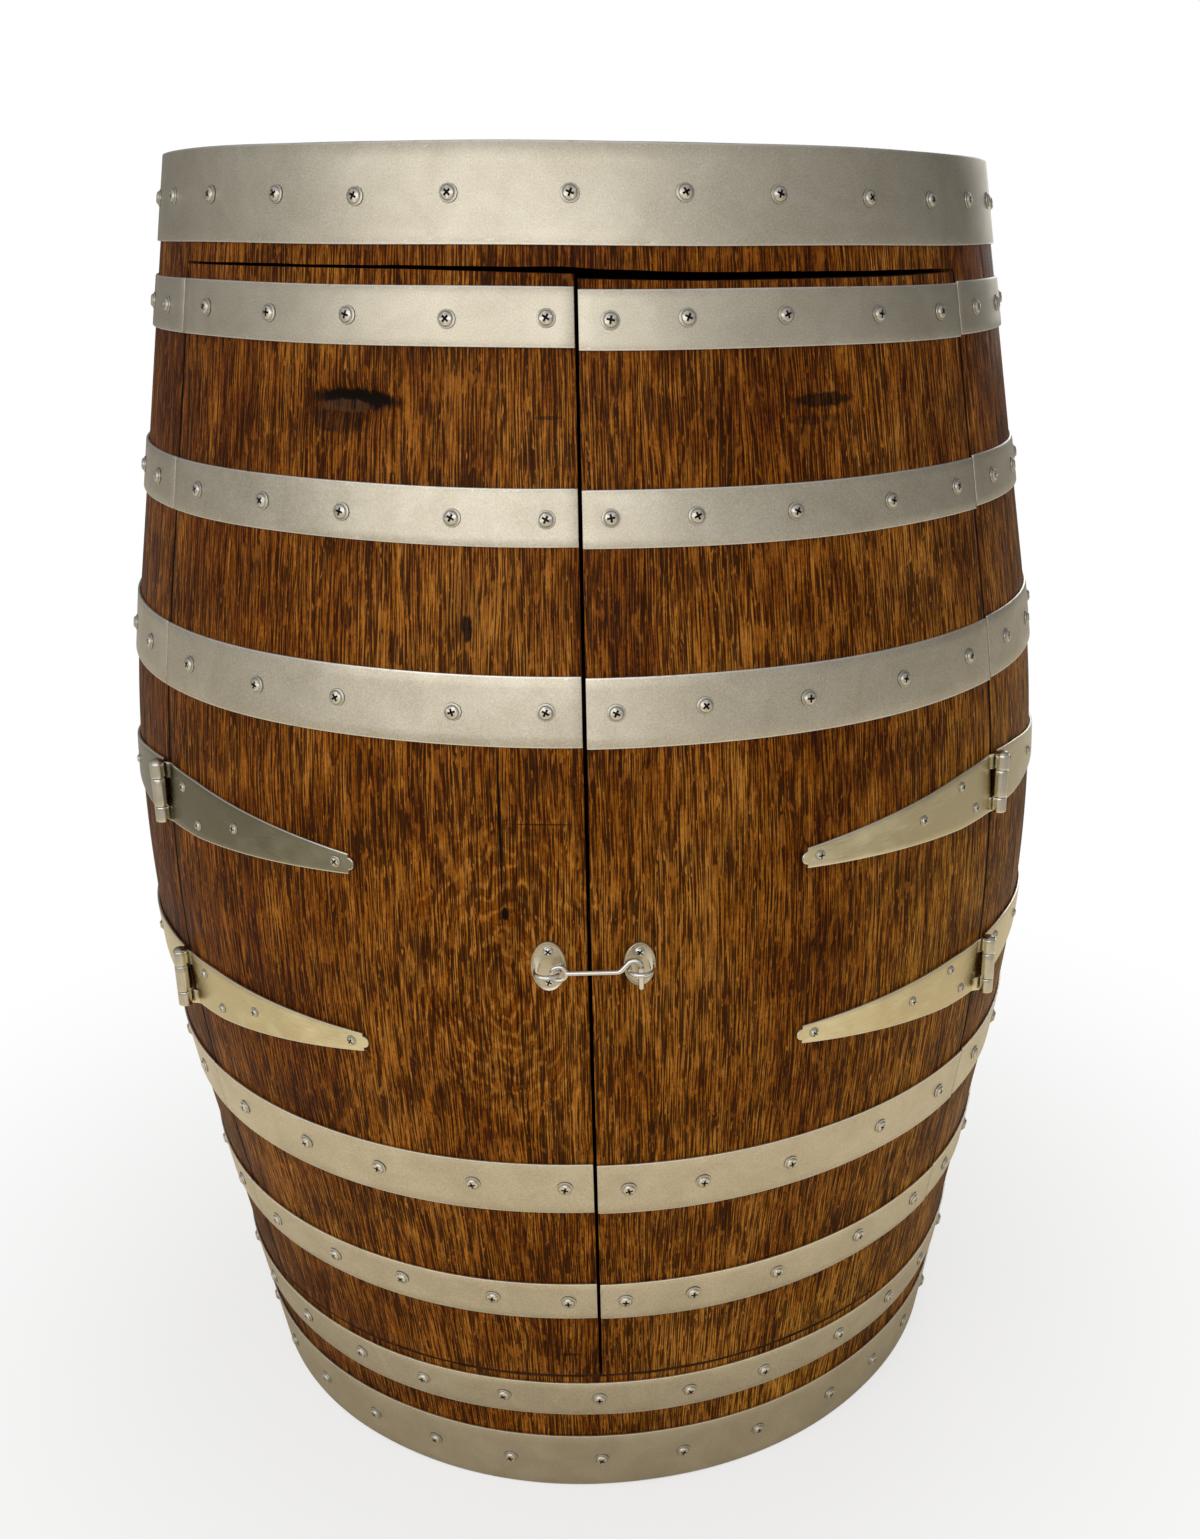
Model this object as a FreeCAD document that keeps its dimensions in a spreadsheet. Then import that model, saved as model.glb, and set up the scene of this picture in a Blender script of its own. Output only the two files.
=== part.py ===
import FreeCAD, Part
import Sketcher
import math
import os
from FreeCAD import Placement, Rotation, Vector

# Barrel bar cabinet: a 225 litre oak wine barrel whose front is sawn into two doors.
# Millimetres. Origin on the floor at the barrel's axis, +Z up, the doors face -Y.
# Angles about the barrel are measured from the front: 0 is the seam between the doors,
# positive turns towards +X. Every sub-part is modelled in a frame of its own whose +X
# points outwards, and its Placement turns that frame to its angle.

doc = FreeCAD.newDocument("BarrelBarCabinet")

# ---------------------------------------------------------------- driving dimensions

SIZES = {
    # barrel
    "BarrelHeight": 938,
    "BilgeRadius": 350,      # outside, at half height
    "BendReach": 180,        # half height of the curved middle of a stave
    "ConeAngle": 9.43,       # lean of a stave's straight ends
    "StaveThick": 26,
    "StaveJoint": 0.3,
    "BackStaves": 23,
    # stave ends
    "ChimeThick": 15,        # width of the rim on which the barrel stands
    "ChimeDeep": 22,         # height of the bevel inside each end
    "CrozeDown": 38,         # from a stave's end to its groove
    "CrozeWide": 6,
    "CrozeDeep": 5,
    # heads
    "HeadThick": 22,
    "HeadBevel": 26,
    "HeadPlay": 0.3,
    "HeadPlanks": 7,
    # doors: the angle that each stave takes up, from the hinges to the seam and on
    "LeftStave1": 13,
    "LeftStave2": 11,
    "LeftStave3": 11,
    "LeftStave4": 13,
    "LeftStave5": 7,
    "RightStave1": 6.5,
    "RightStave2": 11,
    "RightStave3": 12,
    "RightStave4": 13.5,
    "RightStave5": 10,
    "DoorTopDown": 70.5,     # from the barrel's rim
    "DoorBottom": 118,
    "ShortStaveBottom": 282,  # the right door's last stave stops here
    "TopGap": 4.8,
    "BottomGap": 2.4,
    "SeamGap": 2.4,
    "HingeGap": 1.4,
    # hoops
    "HoopThick": 1.8,
    "HoopPlay": 0.3,
    "ChimeHoopWide": 53.5,
    "QuarterHoopWide": 33,
    "BilgeHoopWide": 42,
    "UpperQuarterDown": 92.5,  # middles of the upper hoops, from the rim
    "UpperInnerDown": 201.7,
    "UpperBilgeDown": 312.3,
    "LowerBilgeMid": 296.2,
    "LowerInnerMid": 193.1,
    "LowerQuarterMid": 94.5,
    "HoopLift": 1,           # lowest hoop above the floor
    "RightHoopDrop": 1.2,    # the right door's hoops sit this much lower than the left one's
    "LapAngle": 15,          # a hoop's end laps over its start at the back
    "LapSink": 0.1,
    "RivetAside": 21,
    "RivetWide": 9,
    "RivetTall": 1.6,
    # bung in the middle stave of the back
    "BungWide": 50,
    "BungPlay": 0.1,
    "BungDeep": 22,
    "BungProud": 4,
    "BungRound": 2,
    # shelf
    "ShelfUp": 11,           # its top above half height
    "ShelfThick": 20,
    "ShelfPlay": 3,
    "ShelfSetback": 45,      # front edge behind the inside of the doors
    "CleatPlay": 0.3,
    "CleatDeep": 22,
    "CleatTall": 28,
    "CleatAngle": 9,
    "CleatCount": 5,
    "CleatSpread": 190,
    # strap hinges
    "UpperHingeUp": 62,      # knuckles' middles from half height
    "LowerHingeDown": 78.5,
    "HingeWide": 42,
    "LeafThick": 2,
    "LeafPlay": 0.35,
    "LeafLong": 188,
    "LeafShoulder": 45,      # where a leaf's taper starts
    "ShoulderWide": 39.5,
    "LeafTip": 13.4,
    "TabWide": 8.4,
    "TabOut": 4,
    "LeafBack": 9,           # a leaf stands this far off its pin line
    "LeafLean": 8,           # a leaf's tip is this much nearer to half height than its knuckles
    "CurlStart": 0.8,        # the curl from plate to knuckle, by distance from the pin line
    "CurlTop": 3.4,
    "CurlFoot": 5,
    "CurlLap": 2,            # how far the curl's foot laps onto the plate
    "CurlSink": 0.15,
    "KnuckleWide": 10,
    "KnuckleMiddle": 20,
    "KnucklePlay": 0.4,
    "PinThick": 5.4,
    "PinPlay": 0.06,
    "PinOut": 5.6,           # pin line outside the bilge
    "PinHeadWide": 9,
    "PinHeadTall": 2.2,
    "PinBelow": 0.8,         # what stands out under the lowest knuckle
    "PinChamfer": 0.6,
    # hinge screws: distance from the pin line, and up or down from the leaf's middle
    "ScrewNear": 27,
    "ScrewNext": 46,
    "ScrewMid": 88,
    "ScrewFar": 175,
    "ScrewAside": 10.5,
    "ScrewHeadWide": 7.4,
    "ScrewHeadTall": 1.7,
    "ScrewShank": 3.6,
    "ScrewLong": 18,
    "ScrewPoint": 4,
    "ScrewHole": 4.6,
    "ScrewPlay": 0.35,
    # cabin hook
    "HookDown": 2.5,         # below half height
    "RosetteAngle": 4.1,
    "RosetteWide": 22,
    "RosetteTall": 33.5,
    "KeeperAngle": 5,
    "KeeperWide": 20,
    "KeeperTall": 29.5,
    "PlateThick": 2.4,
    "PlateRim": 1.3,
    "PlateDish": 0.7,
    "PlatePlay": 0.3,
    "PlateScrewWide": 5.6,
    "PlateScrewTall": 1.3,
    "PlateScrewShank": 2.8,
    "PlateScrewLong": 14,
    "PlateScrewPoint": 3,
    "PlateScrewHole": 3.4,
    "PlateScrewInset": 6.4,  # screw middle in from the plate's end
    "StapleWire": 3.2,
    "StapleSpan": 14,
    "StapleLeg": 7.4,
    "HookWire": 3.4,
    "HookOut": 5.8,          # hook's middle in front of the plates
    "EyeWire": 2.9,
    "EyeRadius": 4.55,
    "HookPlay": 0.22,
    "HookBend": 5,
    "HookArch": 4.2,
    "HookRise": 48,
    "HookDrop": 12,          # tip below the keeper's staple
}

sheet = doc.addObject("Spreadsheet::Sheet", "Sizes")
for row, (alias, value) in enumerate(SIZES.items(), start=1):
    sheet.set(f"A{row}", alias)
    sheet.set(f"B{row}", str(value))
    sheet.setAlias(f"B{row}", alias)
doc.recompute()


class Size:
    """A number together with the sheet expression that gives it."""

    def __init__(self, value, text):
        self.value = float(value)
        self.text = text

    def __add__(self, other):
        other = size(other)
        return Size(self.value + other.value, f"({self.text} + {other.text})")

    def __sub__(self, other):
        other = size(other)
        return Size(self.value - other.value, f"({self.text} - {other.text})")

    def __mul__(self, other):
        other = size(other)
        return Size(self.value * other.value, f"({self.text} * {other.text})")

    def __truediv__(self, other):
        other = size(other)
        return Size(self.value / other.value, f"({self.text} / {other.text})")

    def __radd__(self, other):
        return size(other) + self

    def __rsub__(self, other):
        return size(other) - self

    def __rmul__(self, other):
        return size(other) * self

    def __neg__(self):
        return Size(-self.value, f"(0 - {self.text})")


def size(thing):
    """The Size for a sheet alias, a plain number or a Size."""
    if isinstance(thing, Size):
        return thing
    if isinstance(thing, str):
        return Size(SIZES[thing], f"Sizes.{thing}")
    return Size(thing, repr(float(thing)))


def sin(angle):
    angle = size(angle)
    return Size(math.sin(math.radians(angle.value)), f"sin({angle.text})")


def cos(angle):
    angle = size(angle)
    return Size(math.cos(math.radians(angle.value)), f"cos({angle.text})")


def tan(angle):
    return sin(angle) / cos(angle)


def root(square):
    return Size(math.sqrt(square.value), f"sqrt({square.text})")


def turn(length, radius):
    """The angle in degrees that a length takes up on a circle."""
    return size(length) / size(radius) * (180 / math.pi)


# ---------------------------------------------------------------- modelling helpers

nodes = []


def as_node(thing, label, angle=None, base=None):
    """Name a sub-part, and place it turned about the barrel's axis or moved to a base."""
    thing.Label = label
    thing.Placement = Placement(Vector(), Rotation(Vector(0, 0, 1), 10))
    thing.setExpression("Placement.Rotation.Angle", "0" if angle is None else (angle - 90).text)
    for axis, length in zip("xyz", base or ()):
        thing.setExpression(f"Placement.Base.{axis}", size(length).text)
    nodes.append(thing)
    return thing


def new_body(name):
    body = doc.addObject("PartDesign::Body", name)
    body.AllowCompound = True
    return body


def plane(body, role):
    return next(part for part in body.Origin.OriginFeatures if part.Role == role)


def start_sketch(body, role, offset=None):
    """A sketch on one of the body's own planes, moved along the plane's normal."""
    sketch = body.newObject("Sketcher::SketchObject", "Sketch")
    sketch.AttachmentSupport = (plane(body, role), [""])
    sketch.MapMode = "FlatFace"
    if offset is not None:
        sketch.setExpression("AttachmentOffset.Base.z", size(offset).text)
    return sketch


def fix(sketch, kind, place, value):
    """Add a dimension bound to the sheet."""
    value = size(value)
    index = sketch.addConstraint(Sketcher.Constraint(kind, *place, value.value))
    sketch.renameConstraint(index, f"d{index}")
    sketch.setExpression(f"Constraints.d{index}", value.text)


def arc_between(start, end, radius):
    """An arc from start to end, its centre on the left of the run when radius is positive."""
    run = end - start
    half = run.Length / 2
    sag = abs(radius) - math.sqrt(radius * radius - half * half)
    aside = Vector(run.y, -run.x, 0).normalize() * math.copysign(sag, radius)
    return Part.Arc(start, (start + end) / 2 + aside, end)


def draw_loop(sketch, corners, closed=True):
    """Straight sides from corner to corner, or an arc where a corner gives its radius."""
    corners = [tuple(size(number) for number in corner) for corner in corners]
    points = [Vector(corner[0].value, corner[1].value, 0) for corner in corners]
    sides = []
    count = len(corners) if closed else len(corners) - 1
    for index in range(count):
        start, end = points[index], points[(index + 1) % len(points)]
        if len(corners[index]) == 2:
            side = sketch.addGeometry(Part.LineSegment(start, end))
            sides.append((side, 1, 2))
            continue
        radius = corners[index][2]
        side = sketch.addGeometry(arc_between(start, end, radius.value))
        sides.append((side, 1, 2) if radius.value > 0 else (side, 2, 1))
    for index in range(count if closed else count - 1):
        side, following = sides[index], sides[(index + 1) % len(sides)]
        sketch.addConstraint(
            Sketcher.Constraint("Coincident", side[0], side[2], following[0], following[1]))
    for index, corner in enumerate(corners):
        side, point = (sides[index][0], sides[index][1]) if index < count else (
            sides[-1][0], sides[-1][2])
        fix(sketch, "DistanceX", (-1, 1, side, point), corner[0])
        fix(sketch, "DistanceY", (-1, 1, side, point), corner[1])
    for index in range(count):
        if len(corners[index]) == 3:
            radius = corners[index][2]
            fix(sketch, "Radius", (sides[index][0],), radius if radius.value > 0 else -radius)


def draw_circle(sketch, x, y, radius):
    x, y, radius = size(x), size(y), size(radius)
    ring = sketch.addGeometry(Part.Circle(Vector(x.value, y.value, 0), Vector(0, 0, 1), radius.value))
    fix(sketch, "DistanceX", (-1, 1, ring, 3), x)
    fix(sketch, "DistanceY", (-1, 1, ring, 3), y)
    fix(sketch, "Radius", (ring,), radius)


def draw_oval(sketch, x, y, wide, tall):
    """An upright ellipse, taller than it is wide."""
    x, y, wide, tall = size(x), size(y), size(wide), size(tall)
    middle = Vector(x.value, y.value, 0)
    top = middle + Vector(0, tall.value / 2, 0)
    side = middle + Vector(wide.value / 2, 0, 0)
    oval = sketch.addGeometry(Part.Ellipse(top, side, middle))
    sketch.exposeInternalGeometry(oval)
    sketch.addConstraint(Sketcher.Constraint("Vertical", oval + 1))
    fix(sketch, "DistanceX", (-1, 1, oval, 3), x)
    fix(sketch, "DistanceY", (-1, 1, oval, 3), y)
    fix(sketch, "Distance", (oval + 1,), tall)
    fix(sketch, "Distance", (oval + 2,), wide)


def revolve(body, sketch, angle=360, both_ways=False, kind="Revolution", about="V_Axis"):
    feature = body.newObject(f"PartDesign::{kind}", kind)
    feature.Profile = sketch
    feature.ReferenceAxis = (sketch, [about])
    feature.Midplane = both_ways
    feature.Angle = size(angle).value
    feature.setExpression("Angle", size(angle).text)
    body.Tip = feature
    return feature


def pad(body, sketch, length):
    feature = body.newObject("PartDesign::Pad", "Pad")
    feature.Profile = sketch
    feature.setExpression("Length", size(length).text)
    body.Tip = feature
    return feature


def pocket(body, sketch, depth=None, both_ways=True):
    """Cut a sketch's area away: right through both ways, or to a depth against its normal."""
    feature = body.newObject("PartDesign::Pocket", "Pocket")
    feature.Profile = sketch
    if depth is None:
        feature.Type = "ThroughAll"
        feature.Midplane = both_ways
    else:
        feature.setExpression("Length", size(depth).text)
    body.Tip = feature
    return feature


def repeat_round(body, feature, count, spread):
    """Repeat a feature about the barrel's axis, spread over an angle."""
    pattern = body.newObject("PartDesign::PolarPattern", "PolarPattern")
    pattern.Originals = [feature]
    pattern.Axis = (plane(body, "Z_Axis"), [""])
    pattern.Occurrences = round(size(count).value)
    pattern.setExpression("Occurrences", size(count).text)
    pattern.setExpression("Angle", size(spread).text)
    body.Tip = pattern
    return pattern


def draw_slot(sketch, angle):
    """A saw-thin radial slot in plan, right through the wall at an angle from the frame's +X."""
    near, far = size("BilgeRadius") / 2, size("BilgeRadius") * 1.2
    half = size("StaveJoint") / 2
    along = (cos(angle), sin(angle))
    corners = [(near, -half), (far, -half), (far, half), (near, half)]
    draw_loop(sketch, [(reach * along[0] - side * along[1], reach * along[1] + side * along[0])
                       for reach, side in corners])


# ---------------------------------------------------------------- the barrel's form

MIDDLE = size("BarrelHeight") / 2
BEND_RADIUS = size("BendReach") / sin("ConeAngle")
BEND_END = size("BilgeRadius") - BEND_RADIUS * (1 - cos("ConeAngle"))
BEND_LOW = MIDDLE - "BendReach"
BEND_HIGH = MIDDLE + "BendReach"
THICK = size("StaveThick")
JOINT_TURN = turn("StaveJoint", "BilgeRadius")


def outer(height):
    """Radius of the barrel's outside at a height: a cone at each end, an arc between."""
    height = size(height)
    away = height - MIDDLE if height.value > MIDDLE.value else MIDDLE - height
    if away.value > SIZES["BendReach"]:
        return BEND_END - (away - "BendReach") * tan("ConeAngle")
    return size("BilgeRadius") - BEND_RADIUS + root(BEND_RADIUS * BEND_RADIUS - away * away)


def inner(height):
    return outer(height) - THICK


def stave_end(end, inwards):
    """Inside corners of a stave's end, from its rim to past its croze groove.

    end is the height of the rim, and inwards is +1 at the foot and -1 at the top.
    """
    bevel = end + inwards * size("ChimeDeep")
    groove = end + inwards * size("CrozeDown")
    past = groove + inwards * size("CrozeWide")
    return [
        (outer(end) - "ChimeThick", end),
        (inner(bevel), bevel),
        (inner(groove), groove),
        (inner(groove) + "CrozeDeep", groove),
        (inner(past) + "CrozeDeep", past),
        (inner(past), past),
    ]


def bend(thick, upwards):
    """The two corners of a stave's curved middle, on its outside or its inside."""
    low = (BEND_END - thick, BEND_LOW)
    high = (BEND_END - thick, BEND_HIGH)
    if upwards:
        return [low + (BEND_RADIUS,), high]
    return [high + (-BEND_RADIUS,), low]


def staves(label, start, widths, corners):
    """A run of staves side by side: the wall is turned about the axis, then sawn at the joints."""
    body = new_body("Staves")
    profile = start_sketch(body, "XZ_Plane")
    draw_loop(profile, corners)
    span = sum(widths[1:], widths[0])
    revolve(body, profile, span)
    if len(widths) > 1:
        joints = start_sketch(body, "XY_Plane")
        at = widths[0]
        for width in widths[1:]:
            draw_slot(joints, at)
            at = at + width
        pocket(body, joints)
    return as_node(body, label, start)


# ---------------------------------------------------------------- staves and doors

left_widths = [size(f"LeftStave{index}") for index in range(1, 6)]
right_widths = [size(f"RightStave{index}") for index in range(1, 6)]
LEFT_EDGE = -sum(left_widths[1:], left_widths[0])
RIGHT_EDGE = sum(right_widths[1:], right_widths[0])
SHORT_EDGE = RIGHT_EDGE - "RightStave5"
HALF_SEAM = turn("SeamGap", "BilgeRadius") / 2
HINGE_TURN = turn("HingeGap", "BilgeRadius")
BACK_MIDDLE = 180 + (RIGHT_EDGE + LEFT_EDGE) / 2
TOP = size("BarrelHeight")
FLOOR = size(0)
DOOR_TOP = TOP - "DoorTopDown"

door_corners = [
    (outer("DoorBottom"), "DoorBottom"), *bend(0, True), (outer(DOOR_TOP), DOOR_TOP),
    (inner(DOOR_TOP), DOOR_TOP), *bend(THICK, False), (inner("DoorBottom"), "DoorBottom"),
]


def trimmed(widths, first, last):
    """Stave widths with the first and the last one narrowed by a gap."""
    widths = list(widths)
    widths[0] = widths[0] - first
    widths[-1] = widths[-1] - last
    return widths


def make_cabinet_staves():
    """The uncut staves round the back and sides, from one door edge to the other."""
    body = new_body("CabinetStaves")
    profile = start_sketch(body, "XZ_Plane")
    draw_loop(profile, [
        (outer(FLOOR), FLOOR), *bend(0, True), (outer(TOP), TOP),
        *stave_end(TOP, -1), *bend(THICK, False), *reversed(stave_end(FLOOR, 1)),
    ])
    whole = 360 - RIGHT_EDGE + LEFT_EDGE
    pitch = whole / "BackStaves"
    revolve(body, profile, whole - JOINT_TURN, both_ways=True)
    joint = start_sketch(body, "XY_Plane")
    draw_slot(joint, pitch - whole / 2)
    saw = pocket(body, joint)
    repeat_round(body, saw, size("BackStaves") - 1, whole - pitch * 2)
    bung_hole = start_sketch(body, "YZ_Plane")
    draw_circle(bung_hole, 0, MIDDLE, size("BungWide") / 2)
    pocket(body, bung_hole)
    return as_node(body, "cabinet_staves", BACK_MIDDLE)


def make_bung():
    """The wooden plug of the barrel's bung hole, its outer end a little proud and rounded."""
    radius, rounding = size("BungWide") / 2 - "BungPlay", size("BungRound")
    inside, outside = size("BilgeRadius") - "BungDeep", size("BilgeRadius") + "BungProud"
    body = new_body("Bung")
    profile = start_sketch(body, "XZ_Plane")
    draw_loop(profile, [(inside, 0), (outside, 0), (outside, radius - rounding, rounding),
                        (outside - rounding, radius), (inside + rounding, radius),
                        (inside, radius - rounding)])
    revolve(body, profile, about="H_Axis")
    return as_node(body, "bung", BACK_MIDDLE, (0, 0, MIDDLE))


def make_front_staves():
    """What is left of the front staves above and below the doors."""
    start = LEFT_EDGE + JOINT_TURN / 2
    above = DOOR_TOP + "TopGap"
    below = size("DoorBottom") - "BottomGap"
    across = left_widths[:-1] + [left_widths[-1] + right_widths[0]] + right_widths[1:]
    staves("upper_front_staves", start, trimmed(across, JOINT_TURN / 2, JOINT_TURN / 2), [
        (outer(above), above), (outer(TOP), TOP), *stave_end(TOP, -1), (inner(above), above)])
    foot = list(reversed(stave_end(FLOOR, 1)))
    staves("lower_front_staves", start, trimmed(across[:-1], JOINT_TURN / 2, JOINT_TURN / 2), [
        (outer(FLOOR), FLOOR), (outer(below), below), (inner(below), below), *foot])
    side_top = size("ShortStaveBottom") - "BottomGap"
    staves("lower_side_stave", SHORT_EDGE + JOINT_TURN / 2,
           trimmed([size("RightStave5") - JOINT_TURN / 2], 0, JOINT_TURN / 2), [
               (outer(FLOOR), FLOOR), (outer(side_top), side_top), (inner(side_top), side_top), *foot])


def make_doors():
    staves("left_door_staves", LEFT_EDGE + HINGE_TURN,
           trimmed(left_widths, HINGE_TURN, HALF_SEAM), door_corners)
    staves("right_door_staves", HALF_SEAM,
           trimmed(right_widths[:-1], HALF_SEAM, HINGE_TURN / 2), door_corners)
    short = [(outer("ShortStaveBottom"), "ShortStaveBottom")] + door_corners[1:-1] + [
        (inner("ShortStaveBottom"), "ShortStaveBottom")]
    staves("right_door_short_stave", SHORT_EDGE - HINGE_TURN / 2 + JOINT_TURN,
           [size("RightStave5") - HINGE_TURN / 2 - JOINT_TURN], short)


# ---------------------------------------------------------------- heads and shelf


def make_head(label, height):
    """A head of edge-jointed planks, bevelled both ways to a tongue that sits in the croze."""
    half = size("HeadThick") / 2
    tongue = size("CrozeWide") / 2 - "HeadPlay"
    outwards = 1 if height.value > MIDDLE.value else -1
    narrow = inner(height + size("CrozeWide") / 2 * outwards)
    edge = narrow + "CrozeDeep" - "HeadPlay"
    neck = narrow - "HeadPlay"
    flat = neck - "HeadBevel"
    body = new_body("Head")
    profile = start_sketch(body, "XZ_Plane")
    draw_loop(profile, [
        (0, height - half), (flat, height - half), (neck, height - tongue), (edge, height - tongue),
        (edge, height + tongue), (neck, height + tongue), (flat, height + half), (0, height + half)])
    revolve(body, profile)
    joints = start_sketch(body, "XY_Plane")
    reach, gap = edge * 1.1, size("StaveJoint") / 2
    for index in range(1, SIZES["HeadPlanks"]):
        at = edge * 2 * index / "HeadPlanks" - edge
        draw_loop(joints, [(-reach, at - gap), (reach, at - gap), (reach, at + gap), (-reach, at + gap)])
    pocket(body, joints)
    return as_node(body, label, size(0))


def make_shelf():
    """A round shelf with a straight front edge, on cleats that are fixed to the staves."""
    top = MIDDLE + "ShelfUp"
    under = top - "ShelfThick"
    radius = inner(under) - "ShelfPlay"
    body = new_body("Shelf")
    profile = start_sketch(body, "XZ_Plane")
    draw_loop(profile, [(0, under), (radius, under), (radius, top), (0, top)])
    revolve(body, profile)
    front = radius - "ShelfSetback"
    trim = start_sketch(body, "XY_Plane")
    draw_loop(trim, [(front, -radius), (radius * 2, -radius), (radius * 2, radius), (front, radius)])
    pocket(body, trim)
    as_node(body, "shelf", size(0))

    low = under - "CleatTall"
    deep = size("CleatDeep")
    cleats = new_body("Cleats")
    block = start_sketch(cleats, "XZ_Plane")
    wall_low, wall_high = inner(low) - "CleatPlay", inner(under) - "CleatPlay"
    draw_loop(block, [(wall_low - deep, low), (wall_low, low), (wall_high, under), (wall_high - deep, under)])
    cleat = revolve(cleats, block, "CleatAngle")
    repeat_round(cleats, cleat, "CleatCount", "CleatSpread")
    as_node(cleats, "shelf_cleats", 180 - size("CleatSpread") / 2 - size("CleatAngle") / 2)


# ---------------------------------------------------------------- hoops


def strip_corners(low, high, inside, outside):
    """Section of a flat strip on the barrel's cone, by how far its two faces are off the wall."""
    return [(outer(low) + inside, low), (outer(low) + outside, low),
            (outer(high) + outside, high), (outer(high) + inside, high)]


def make_hoop(label, low, wide, start=None, end=None, lapped=False):
    """A flat steel strip bent to the barrel's cone: a whole ring, or the part between two angles.

    A lapped one has its end laid over its start, in its middle, under two rivets.
    """
    low, high = size(low), size(low) + wide
    play, thick = size("HoopPlay"), size("HoopThick")
    body = new_body("Hoop")
    profile = start_sketch(body, "XZ_Plane")
    draw_loop(profile, strip_corners(low, high, play, play + thick))
    revolve(body, profile, 360 if start is None else end - start, both_ways=start is not None)
    if lapped:
        over = start_sketch(body, "XZ_Plane")
        draw_loop(over, strip_corners(low, high, play + thick - "LapSink", play + thick * 2))
        revolve(body, over, "LapAngle", both_ways=True)
        rivets = start_sketch(body, "YZ_Plane", (outer(low) + outer(high)) / 2 + play + thick / 2)
        for side in (1, -1):
            draw_circle(rivets, size("RivetAside") * side, (low + high) / 2, size("RivetWide") / 2)
        pad(body, rivets, thick * 1.5 + "RivetTall")
    return as_node(body, label, BACK_MIDDLE if start is None else (start + end) / 2)


def make_hoops():
    chime, quarter, bilge = size("ChimeHoopWide"), size("QuarterHoopWide"), size("BilgeHoopWide")
    make_hoop("upper_chime_hoop", TOP - chime - "HoopLift", chime, lapped=True)
    make_hoop("lower_quarter_hoop", size("LowerQuarterMid") - quarter / 2, quarter, lapped=True)
    make_hoop("lower_chime_hoop", "HoopLift", chime, lapped=True)
    cut_hoops = [
        ("upper_quarter_hoop", TOP - "UpperQuarterDown", quarter),
        ("upper_inner_hoop", TOP - "UpperInnerDown", quarter),
        ("upper_bilge_hoop", TOP - "UpperBilgeDown", bilge),
        ("lower_bilge_hoop", size("LowerBilgeMid"), bilge),
        ("lower_inner_hoop", size("LowerInnerMid"), quarter),
    ]
    for name, middle, wide in cut_hoops:
        low = middle - wide / 2
        make_hoop(f"{name}_back", low, wide, RIGHT_EDGE, LEFT_EDGE + 360, lapped=True)
        make_hoop(f"{name}_left", low, wide, LEFT_EDGE + HINGE_TURN, -HALF_SEAM)
        make_hoop(f"{name}_right", low - "RightHoopDrop", wide, HALF_SEAM, RIGHT_EDGE - HINGE_TURN)


# ---------------------------------------------------------------- strap hinges

PIN_RADIUS = size("BilgeRadius") + "PinOut"
LEAF_SPAN = turn("LeafLong", "BilgeRadius")


def leaf_place(along, side, middle):
    """Sideways place, in a leaf's own frame, of a point this far along it from the pin line."""
    radius = outer(middle) + "LeafPlay" + size("LeafThick") / 2
    return sin(turn(along, "BilgeRadius") - LEAF_SPAN / 2) * radius * side


def leaf_middle(middle, along):
    """Height of a leaf's centre line this far along it: it leans towards the barrel's half height."""
    share = (size(along) - "LeafBack") / (size("LeafLong") - "LeafBack")
    return middle + share * "LeafLean" * (-1 if middle.value > MIDDLE.value else 1)


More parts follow.
